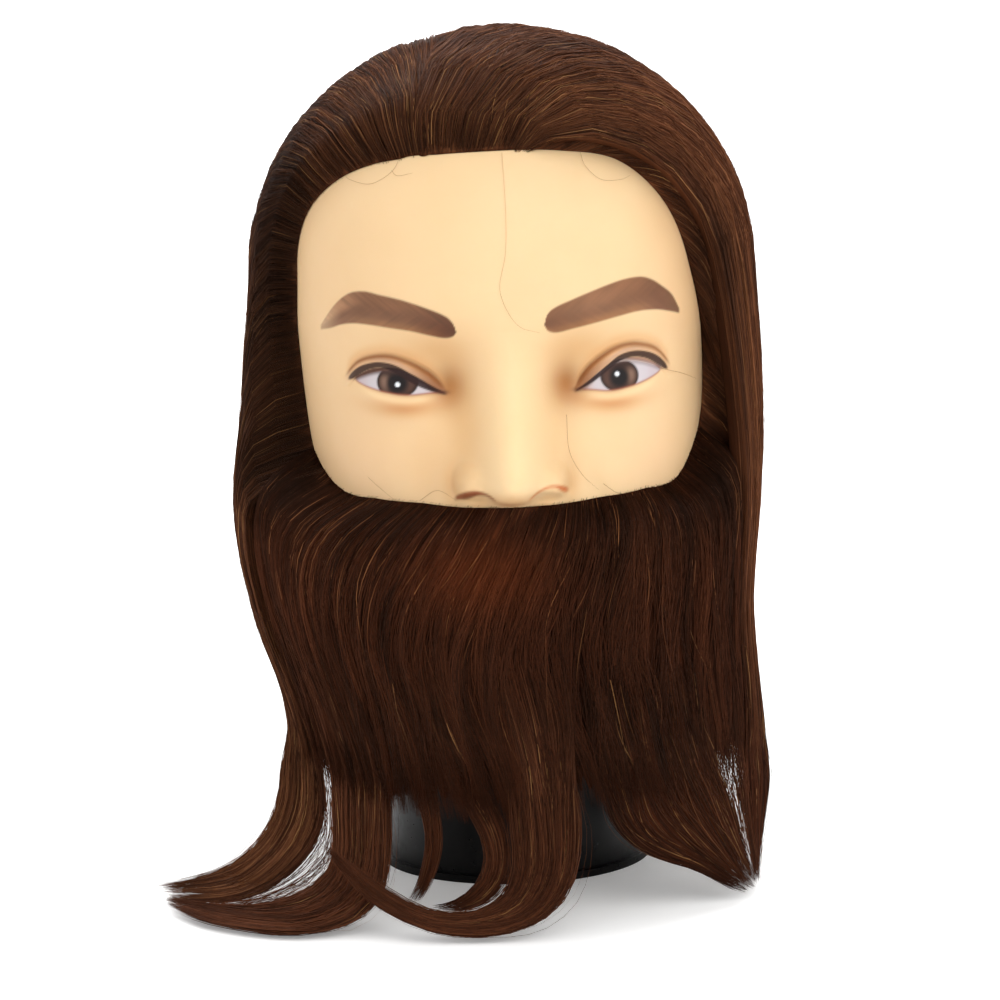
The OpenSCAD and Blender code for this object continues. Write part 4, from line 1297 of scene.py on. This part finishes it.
LOCK_MID = [
    [(-34, -101, 84), (-29, -102, 64), (-22.5, -102, 49, 0.6), (-17, -101, 38.5, 1),
     (-12.5, -101, 28.5, 1), (-12, -102, 20.5, 1), (-16, -100, 12.5, 1), (-23, -96, 7, 1),
     (-30, -88, 3.5, 1)],
    [(-26, -103, 84), (-20, -104, 64), (-13, -104, 49, 0.6), (-8.5, -103, 38.5, 1), (-5.5, -103, 28.5, 1),
     (-6, -104, 19, 1), (-10, -103, 11, 1), (-18, -99, 5.5, 1), (-27, -90, 3, 1)],
]
LOCK_THIN = [
    [(-44, -93, 84), (-42, -94, 66), (-39, -94, 54, 0.5), (-33.5, -94, 44, 1), (-30.5, -92, 30, 1),
     (-31.5, -90, 20, 1), (-35, -86, 9, 1), (-38.5, -80, 3, 1)],
    [(-38, -95, 84), (-36, -96, 66), (-33, -95, 54, 0.5), (-28.5, -94, 44, 1), (-26.5, -92, 30, 1),
     (-27.5, -90, 20, 1), (-31.5, -86, 9, 1), (-35, -80, 3, 1)],
]
LOCKS_RIGHT = [
    [(18, -106, 84), (22, -106, 62), (26, -103, 45, 0.6), (30, -97, 32, 1), (38, -91, 22, 1),
     (49, -87, 16.5, 1), (59, -84, 12.5, 1), (68, -82, 6.5, 1), (75, -80, 3, 1)],
    [(34, -100, 84), (38, -100, 62), (42, -97, 47, 0.6), (47, -92, 34, 1), (55, -88, 24, 1),
     (63, -85, 16.5, 1), (71, -82, 9, 1), (77, -80, 4, 1)],
    [(50, -94, 84), (53, -94, 62), (56, -91, 46, 0.6), (61, -88, 33, 1), (67, -85, 22, 1),
     (72, -82, 13, 1), (78, -80, 5, 1)],
    [(62, -86, 84), (65, -86, 62), (67, -83, 46, 0.6), (70, -80, 33, 1), (73, -78, 22, 1),
     (76, -77, 13, 1), (79, -78, 6, 1)],
]
LOCK_RIGHT_EDGE = [
    [(82, -56, 84), (80, -54, 62), (79, -54, 44, 0.5), (79, -56, 30, 1), (79.5, -60, 18, 1),
     (80, -68, 9, 1), (79.5, -76, 5, 1)],
    [(86, -42, 84), (85, -40, 62), (85, -38, 44, 0.5), (84.5, -40, 30, 1), (83, -46, 18, 1),
     (81.5, -56, 9, 1), (80, -66, 5, 1)],
    [(88, -26, 84), (90, -22, 62), (91, -22, 44, 0.5), (90, -25, 29, 1), (87, -32, 16, 1),
     (84, -42, 8, 1), (82, -54, 4.5, 1)],
]


def moved_roots(guides, lift):
    """The same guides with their roots lifted along the vinyl, for the fine hairs of the edge."""
    moved = []
    for guide in guides:
        x, _, z = guide[0]
        moved.append([root(x, z + lift)] + guide[1:])
    return moved


# Sparse hair that bridges the gaps between neighbouring locks.
BRIDGE_RIGHT = [LOCKS_RIGHT[2], LOCKS_RIGHT[3], LOCK_RIGHT_EDGE[0], LOCK_RIGHT_EDGE[1]]
BRIDGE_LEFT = [LOCK_SWEEP_LEFT[2], LOCK_LOW_LEFT[0]]
# Single hairs that have fallen onto the face: rows of (x, z) points.
STRAYS = [
    [(-33, 250), (-36, 245), (-43, 241.5), (-50, 243.5), (-52.5, 246)],
    [(-36, 245.5), (-34, 243.6), (-29, 244.2)],
    [(25.5, 250), (27, 245), (32, 240.5), (38.5, 240.5), (42, 242)],
    [(0, 250), (0.5, 230), (0, 217), (-2, 205), (3, 194.5), (10.5, 191.5)],
    [(18.5, 165), (19, 153.5), (23, 145.5), (28.5, 140)],
    [(50, 178.8), (59, 176.4), (65, 174)],
    [(-47, 145.5), (-43, 142), (-38, 138)],
    [(-30, 138), (-24, 141.5), (-18, 138.5)],
    [(30, 142), (34, 139), (37, 138)],
]


def face_strand(points, width=0.11, samples=40):
    """One hair that lies on the face, just clear of the vinyl, faint on the forehead."""
    steps = np.linspace(0, 1, samples)
    line = along_curve(np.array([points], float), steps[None])[0]
    xyz = np.array([root(x, z) for x, z in line])
    xyz[:, 1] -= face_relief(xyz[:, 0], xyz[:, 2]) + 0.7
    w = width * (1 - 0.6 * steps**3)
    faint = 0.75 * smooth((xyz[:, 2] - 200) / 20) * bell(xyz[:, 0], 10)
    tint = wash(np.ones((samples, 3)) * linear((136, 94, 62)), (216, 176, 130), faint)
    return xyz[None], w[None], tint[None]


# ---------------------------------------------------------------- studio
WHITE = (1, 1, 1)
# Area lights in metres: name, place, target, size, energy and colour.
LIGHTS = [
    ("key", (0.75, -1.4, 1.15), (0, 0, 0.18), (1.6, 1.6), 15.5, (1, 0.985, 0.96)),
    ("fill", (-1.2, -1.2, 0.7), (0, 0, 0.15), (1.2, 1.2), 2.5, WHITE),
    ("top", (0.1, 0.1, 1.7), (0, 0, 0.2), (2.2, 2.2), 7, WHITE),
    ("rim", (0.9, 0.9, 0.9), (0, 0, 0.2), (0.8, 0.8), 6, WHITE),
    ("backdrop", (0, 1.2, 2.2), (0, 2.4, 0.2), (3.4, 1.4), 70, WHITE),
]
# The floor in metres: half its width, then its profile from far in front to the raised back.
FLOOR_HALF = 12
FLOOR_PROFILE = ((-14.0, 0), (0.5, 0), (1.6, 0), (2.3, 0.12), (2.75, 0.6), (2.9, 1.4), (2.9, 4.0))
# The camera: lens in millimetres, distance and height in metres, and its turns in degrees.
LENS, DISTANCE, HEIGHT = 79.13, 0.80, 0.20
AZIMUTH, PITCH, ROLL, PAN = -1.0, 5.0, 1.6, 0.18


def area_light(name, location, target, size, energy, colour):
    """A rectangular light that shines from its location to the target."""
    data = bpy.data.lights.new(name, "AREA")
    data.shape = "RECTANGLE"
    data.size, data.size_y = size
    data.energy = energy
    data.color = colour
    light = bpy.data.objects.new(name, data)
    light.location = location
    direction = Vector(target) - Vector(location)
    light.rotation_euler = direction.to_track_quat("-Z", "Y").to_euler()
    bpy.context.scene.collection.objects.link(light)


def camera_rays(nodes, links, otherwise, seen):
    """A value that is seen for rays from the camera and otherwise for the rest."""
    rays = nodes.new("ShaderNodeLightPath")
    value = nodes.new("ShaderNodeMapRange")
    set_inputs(value, {"To Min": otherwise, "To Max": seen})
    links.new(rays.outputs["Is Camera Ray"], value.inputs["Value"])
    return value.outputs["Result"]


def build_floor():
    """A pale floor that rises behind the object."""
    corners = [(side, y, z) for y, z in FLOOR_PROFILE for side in (-FLOOR_HALF, FLOOR_HALF)]
    quads = grid_quads(len(FLOOR_PROFILE), 2, closed=False)
    floor = new_mesh("studio_floor", np.array(corners) / MM, quads)
    material, nodes, links, shader = node_material("pale_floor")
    paper = ramp_node(nodes, links, noise_node(nodes, links, 3, 2), (0.93,) * 3, (0.95,) * 3)
    links.new(paper, shader.inputs["Base Color"])
    # A faint glow that only the camera sees keeps the far floor and the shadows pale.
    set_inputs(shader, {"Roughness": 0.9, "Emission Color": (1, 1, 1, 1)})
    links.new(camera_rays(nodes, links, 0.0, 0.2), shader.inputs["Emission Strength"])
    floor.data.materials.append(material)


def build_world():
    """A white surround where the camera sees it, a little softer as light."""
    world = bpy.data.worlds.new("studio")
    bpy.context.scene.world = world
    world.use_nodes = True
    tree = world.node_tree
    background = tree.nodes["Background"]
    background.inputs["Color"].default_value = (1, 1, 1, 1)
    strength = camera_rays(tree.nodes, tree.links, 0.76, 1.0)
    tree.links.new(strength, background.inputs["Strength"])


def build_camera():
    """A view from in front, 5 degrees down, turned and rolled a little."""
    data = bpy.data.cameras.new("camera")
    data.lens = LENS
    camera = bpy.data.objects.new("camera", data)
    azimuth, pitch, roll, pan = (math.radians(turn) for turn in (AZIMUTH, PITCH, ROLL, PAN))
    camera.location = (DISTANCE * math.sin(azimuth), -DISTANCE * math.cos(azimuth), HEIGHT)
    camera.rotation_mode = "XYZ"
    turn = Matrix.Rotation(azimuth + pan, 4, "Z") @ Matrix.Rotation(math.pi / 2 - pitch, 4, "X")
    camera.rotation_euler = (turn @ Matrix.Rotation(-roll, 4, "Z")).to_euler()
    bpy.context.scene.collection.objects.link(camera)
    bpy.context.scene.camera = camera


# ---------------------------------------------------------------- the parts of the hair
# The sheets: name, seed, guides, reach, columns, depth, and the nodes they stand for.
SCALP_MASSES = [
    ("mass_left", 31, HAIR_LEFT, (0, 10), 620, 2.6,
     ["hair_side_left", "hair_temple_left", "hair_top_left"]),
    ("mass_middle", 36, HAIR_MIDDLE, (0.6, 5), 300, 3.6, ["hair_crown"]),
    ("mass_edge_right", 35, EDGE_RIGHT, (0, 7), 340, 6.0, ["hair_temple_right"]),
    ("mass_right", 32, HAIR_RIGHT, (0, 5), 520, 2.8, ["hair_side_right", "hair_top_right"]),
    ("mass_back", 33, HAIR_RIGHT, (4.6, 10), 560, 2.8, ["hair_crown", "hair_back", "hair_nape"]),
]
# Strands: name, seed, guides, reach, count, clumps, depth of the top layer, and the node.
SCALP_PARTS = [
    ("hair_side_left", 11, HAIR_LEFT, (0, 2.4), 1400, 30, 0, "hair_side_left"),
    ("hair_rear_left", 19, HAIR_LEFT, (2.2, 4.6), 1300, 30, 0, "hair_side_left"),
    ("hair_temple_left", 12, HAIR_LEFT, (4.4, 7.0), 1500, 44, 0, "hair_temple_left"),
    ("hair_top_left", 13, HAIR_LEFT, (6.7, 10), 1540, 60, 0, "hair_top_left"),
    ("hair_top_middle", 27, HAIR_MIDDLE, (0.8, 5), 900, 36, 0.7, "hair_crown"),
    ("hair_edge_right", 20, EDGE_RIGHT, (0, 7), 1400, 48, 4.0, "hair_temple_right"),
    ("hair_side_right", 14, HAIR_RIGHT, (0, 1.5), 1500, 26, 0, "hair_side_right"),
    ("hair_top_right", 16, HAIR_RIGHT, (1.3, 3.4), 1540, 40, 0, "hair_top_right"),
    ("hair_over_right", 25, HAIR_RIGHT, (3.2, 5.2), 1540, 40, 0, "hair_top_right"),
    ("hair_crown", 17, HAIR_RIGHT, (5.0, 7.4), 1400, 40, 0, "hair_crown"),
    ("hair_back", 18, HAIR_RIGHT, (7.2, 10), 1350, 40, 0, "hair_back"),
]
# These parts start under other hair, so they come up to the surface more slowly.
SLOW_RISE = {"hair_crown": 18.0, "hair_back": 18.0}
# These parts run straight over the top, where uneven layers would stand up like teeth.
FLAT_LAYERS = {"hair_top_left", "hair_top_middle"}
# Beard strands: name, seed, reach, count, clumps and the node.
BEARD_PARTS = [
    ("beard_cheek_left", 21, (0, 2.4), 1500, 22, "beard_cheek_left"),
    ("beard_jaw_left", 26, (2.2, 4.6), 1540, 26, "beard_moustache"),
    ("beard_chin", 22, (4.3, 6.6), 1540, 26, "beard_chin"),
    ("beard_fringe", 23, (6.3, 8.6), 1500, 24, "beard_fringe"),
    ("beard_cheek_right", 24, (8.3, 11), 1500, 26, "beard_cheek_right"),
]
LOW_SHADES = [(44, 24, 15), (76, 43, 28), (112, 66, 44), (150, 98, 66)]
# Locks: name, seed, guides, count, clumps, shades, and the nodes.
LOCK_PARTS = [
    ("lock_sweep_left", 41, LOCK_SWEEP_LEFT, 1200, 9, SWEEP_SHADES, ["lock_sweep_left"]),
    ("lock_low_left", 42, LOCK_LOW_LEFT, 1200, 9, LOW_SHADES, []),
    ("lock_centre", 43, LOCK_CENTRE, 1300, 9, LOCK_SHADES, ["lock_curl_front"]),
    ("lock_mid", 44, LOCK_MID, 320, 4, LOCK_SHADES, []),
    ("lock_thin", 45, LOCK_THIN, 200, 3, LOCK_SHADES, []),
    ("locks_right", 46, LOCKS_RIGHT, 1300, 14, BEARD_SHADES, ["lock_curl_right"]),
    ("lock_right_edge", 47, LOCK_RIGHT_EDGE, 900, 10, BEARD_SHADES, []),
]
BRIDGES = [("bridge_right", 48, BRIDGE_RIGHT, 460, 16), ("bridge_left", 49, BRIDGE_LEFT, 60, 7)]
# Single hairs that stand off: seed, guides and count.
FLYAWAYS = [(61, HAIR_LEFT, 130), (62, HAIR_RIGHT, 170), (63, EDGE_RIGHT, 60), (64, BEARD, 160)]
LOCK_FLYAWAYS = [(71, LOCK_SWEEP_LEFT, 70), (72, LOCK_LOW_LEFT, 60), (73, LOCK_CENTRE, 60),
                 (74, LOCKS_RIGHT, 80)]
# Short fine hairs along the hairline: seed, guides, reach and count.
EDGE_HAIRS = [
    (65, moved_roots(HAIR_LEFT, -0.9), (0, 10), 260),
    (66, moved_roots(HAIR_RIGHT, -0.9), (0, 2), 60),
    (67, moved_roots(BEARD, 0.9), (0, 11), 260),
]


def build_sheets():
    """The sheets under the combed hair and the beard."""
    for name, seed, guides, reach, cols, depth, nodes in SCALP_MASSES:
        sheet = hair_mass(name, seed, guides, reach, cols, depth=depth, ridge=0.55)
        piece(sheet, "scalp_hair", under_hair, *nodes)
    sheet = hair_mass("mass_beard", 34, BEARD, cols=560, rows=52, depth=3.0, end=0.98, ragged=0.14,
                      rise=16, shades=BEARD_SHADES)
    piece(sheet, "beard_hair", under_hair, *(node for *_, node in BEARD_PARTS))


def build_scalp_strands():
    """The strands of the combed hair."""
    for name, seed, guides, reach, count, clumps, near, node in SCALP_PARTS:
        layers, lay, wave = (1.5, 0.4, 0.16) if name in FLAT_LAYERS else (3.0, 0.9, 0.07)
        strands = grow(seed, guides, count, reach, near, near + layers, clumps=clumps, lay=lay,
                       wave=wave, rise=SLOW_RISE.get(name, 8.0))
        piece(strand_mesh("strands_" + name, [strands]), "scalp_hair", scalp_hair, node)


def build_beard_strands():
    """The strands of the beard."""
    for name, seed, reach, count, clumps, node in BEARD_PARTS:
        strands = grow(seed, BEARD, count, reach, clumps=clumps, tight=0.4, wave=0.12, fuzz=0.07,
                       rise=9.0, shades=BEARD_SHADES, glint_share=0.07, glow=42, glint_colour=BEARD_GLINT_TONE,
                       lay=1.4, variety=0.09)
        piece(strand_mesh("strands_" + name, [strands]), "beard_hair", beard_hair, node)


def build_locks():
    """The loose locks at the ends, each with a core, and the sparse hair between them."""
    for name, seed, guides, count, clumps, shades, nodes in LOCK_PARTS:
        strands = grow(seed, guides, count, start=(0, 0.30), end=(0.86, 1), clumps=clumps, tight=0.35,
                       wave=0.06, fuzz=0.05, rise=0.1, shades=shades, scatter=1.1)
        piece(strand_mesh("strands_" + name, [strands]), "beard_hair", beard_hair, *nodes)
        core = hair_mass("core_" + name, seed + 10, guides, cols=90, rows=60, depth=3.0, thick=3.0,
                         end=0.86, ragged=0.20, rise=0.1, shades=shades, ridge=0.6, loose=0.8)
        piece(core, "beard_hair", under_hair)
    for name, seed, guides, count, clumps in BRIDGES:
        strands = grow(seed, guides, count, samples=14, start=(0, 0.4), end=(0.7, 1), width=(0.14, 0.28),
                       clumps=clumps, tight=0.6, wave=0.10, fuzz=0.08, rise=0.1, shades=LOCK_SHADES,
                       scatter=1.4)
        piece(strand_mesh(name, [strands]), "beard_hair", beard_hair)


def build_loose_hairs():
    """Flyaway hairs, the fine hairs along the hairline, and the hairs on the face."""
    thin = (0.08, 0.15)
    loose = [grow(seed, guides, count, near=-1.6, far=0.5, start=(0, 0.6), end=(0.5, 1), width=thin,
                  wave=0.12, fuzz=0.12, rise=20.0) for seed, guides, count in FLYAWAYS]
    piece(strand_mesh("flyaway_hairs", loose), "scalp_hair", scalp_hair)
    low = [grow(seed, guides, count, start=(0, 0.4), end=(0.6, 1), width=thin, wave=0.12, fuzz=0.14,
                rise=0.1, scatter=2.6) for seed, guides, count in LOCK_FLYAWAYS]
    fine = [grow(seed, guides, count, reach, near=1.0, far=5.0, samples=12, start=(0, 0.01),
                 end=(0.04, 0.16), width=(0.08, 0.18), wave=0.2, fuzz=0.25, rise=12.0, glint_share=0.1,
                 glow=12, glint_colour=BEARD_GLINT_TONE) for seed, guides, reach, count in EDGE_HAIRS]
    strays = [face_strand(points) for points in STRAYS]
    for name, batches in (("lock_flyaway_hairs", low), ("edge_hairs", fine), ("stray_hairs", strays)):
        piece(strand_mesh(name, batches), "beard_hair", beard_hair)


def dress_nodes():
    """Materials for the CAD's own solids that stay as they are."""
    low, high = (tuple(linear(shade)) for shade in ((9, 8, 8), (13, 12, 12)))
    black = moulded_material("black_plastic", low, high, 0.34, 0.0, 0.22)
    inner = moulded_material("inner_plastic", (0.62, 0.61, 0.58), (0.74, 0.73, 0.70), 0.5, 0.1)
    foam = moulded_material("foam", (0.72, 0.66, 0.52), (0.86, 0.80, 0.68), 0.9, 0.8)
    glue = moulded_material("glue", (0.70, 0.64, 0.50), (0.82, 0.78, 0.66), 0.35, 0.3)
    looks = {
        "neck_base": black, "clamp_socket": black, "neck_insert": inner, "foam_core": foam,
        "scalp_root_glue": glue, "beard_root_glue": glue, "base_screws": screw_material(),
    }
    for node, material in looks.items():
        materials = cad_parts[node].data.materials
        materials.clear()
        materials.append(material)


# ---------------------------------------------------------------- build everything
build_head()
scalp_hair = hair_material("scalp_hair", 0.42, 0.45)
beard_hair = hair_material("beard_hair", 0.50, 0.40)
under_hair = hair_material("under_hair", 0.75, 0.15)
build_sheets()
build_scalp_strands()
build_beard_strands()
build_locks()
build_loose_hairs()
dress_nodes()

build_floor()
build_world()
for light in LIGHTS:
    area_light(*light)
build_camera()
bpy.context.scene.view_settings.view_transform = "Standard"
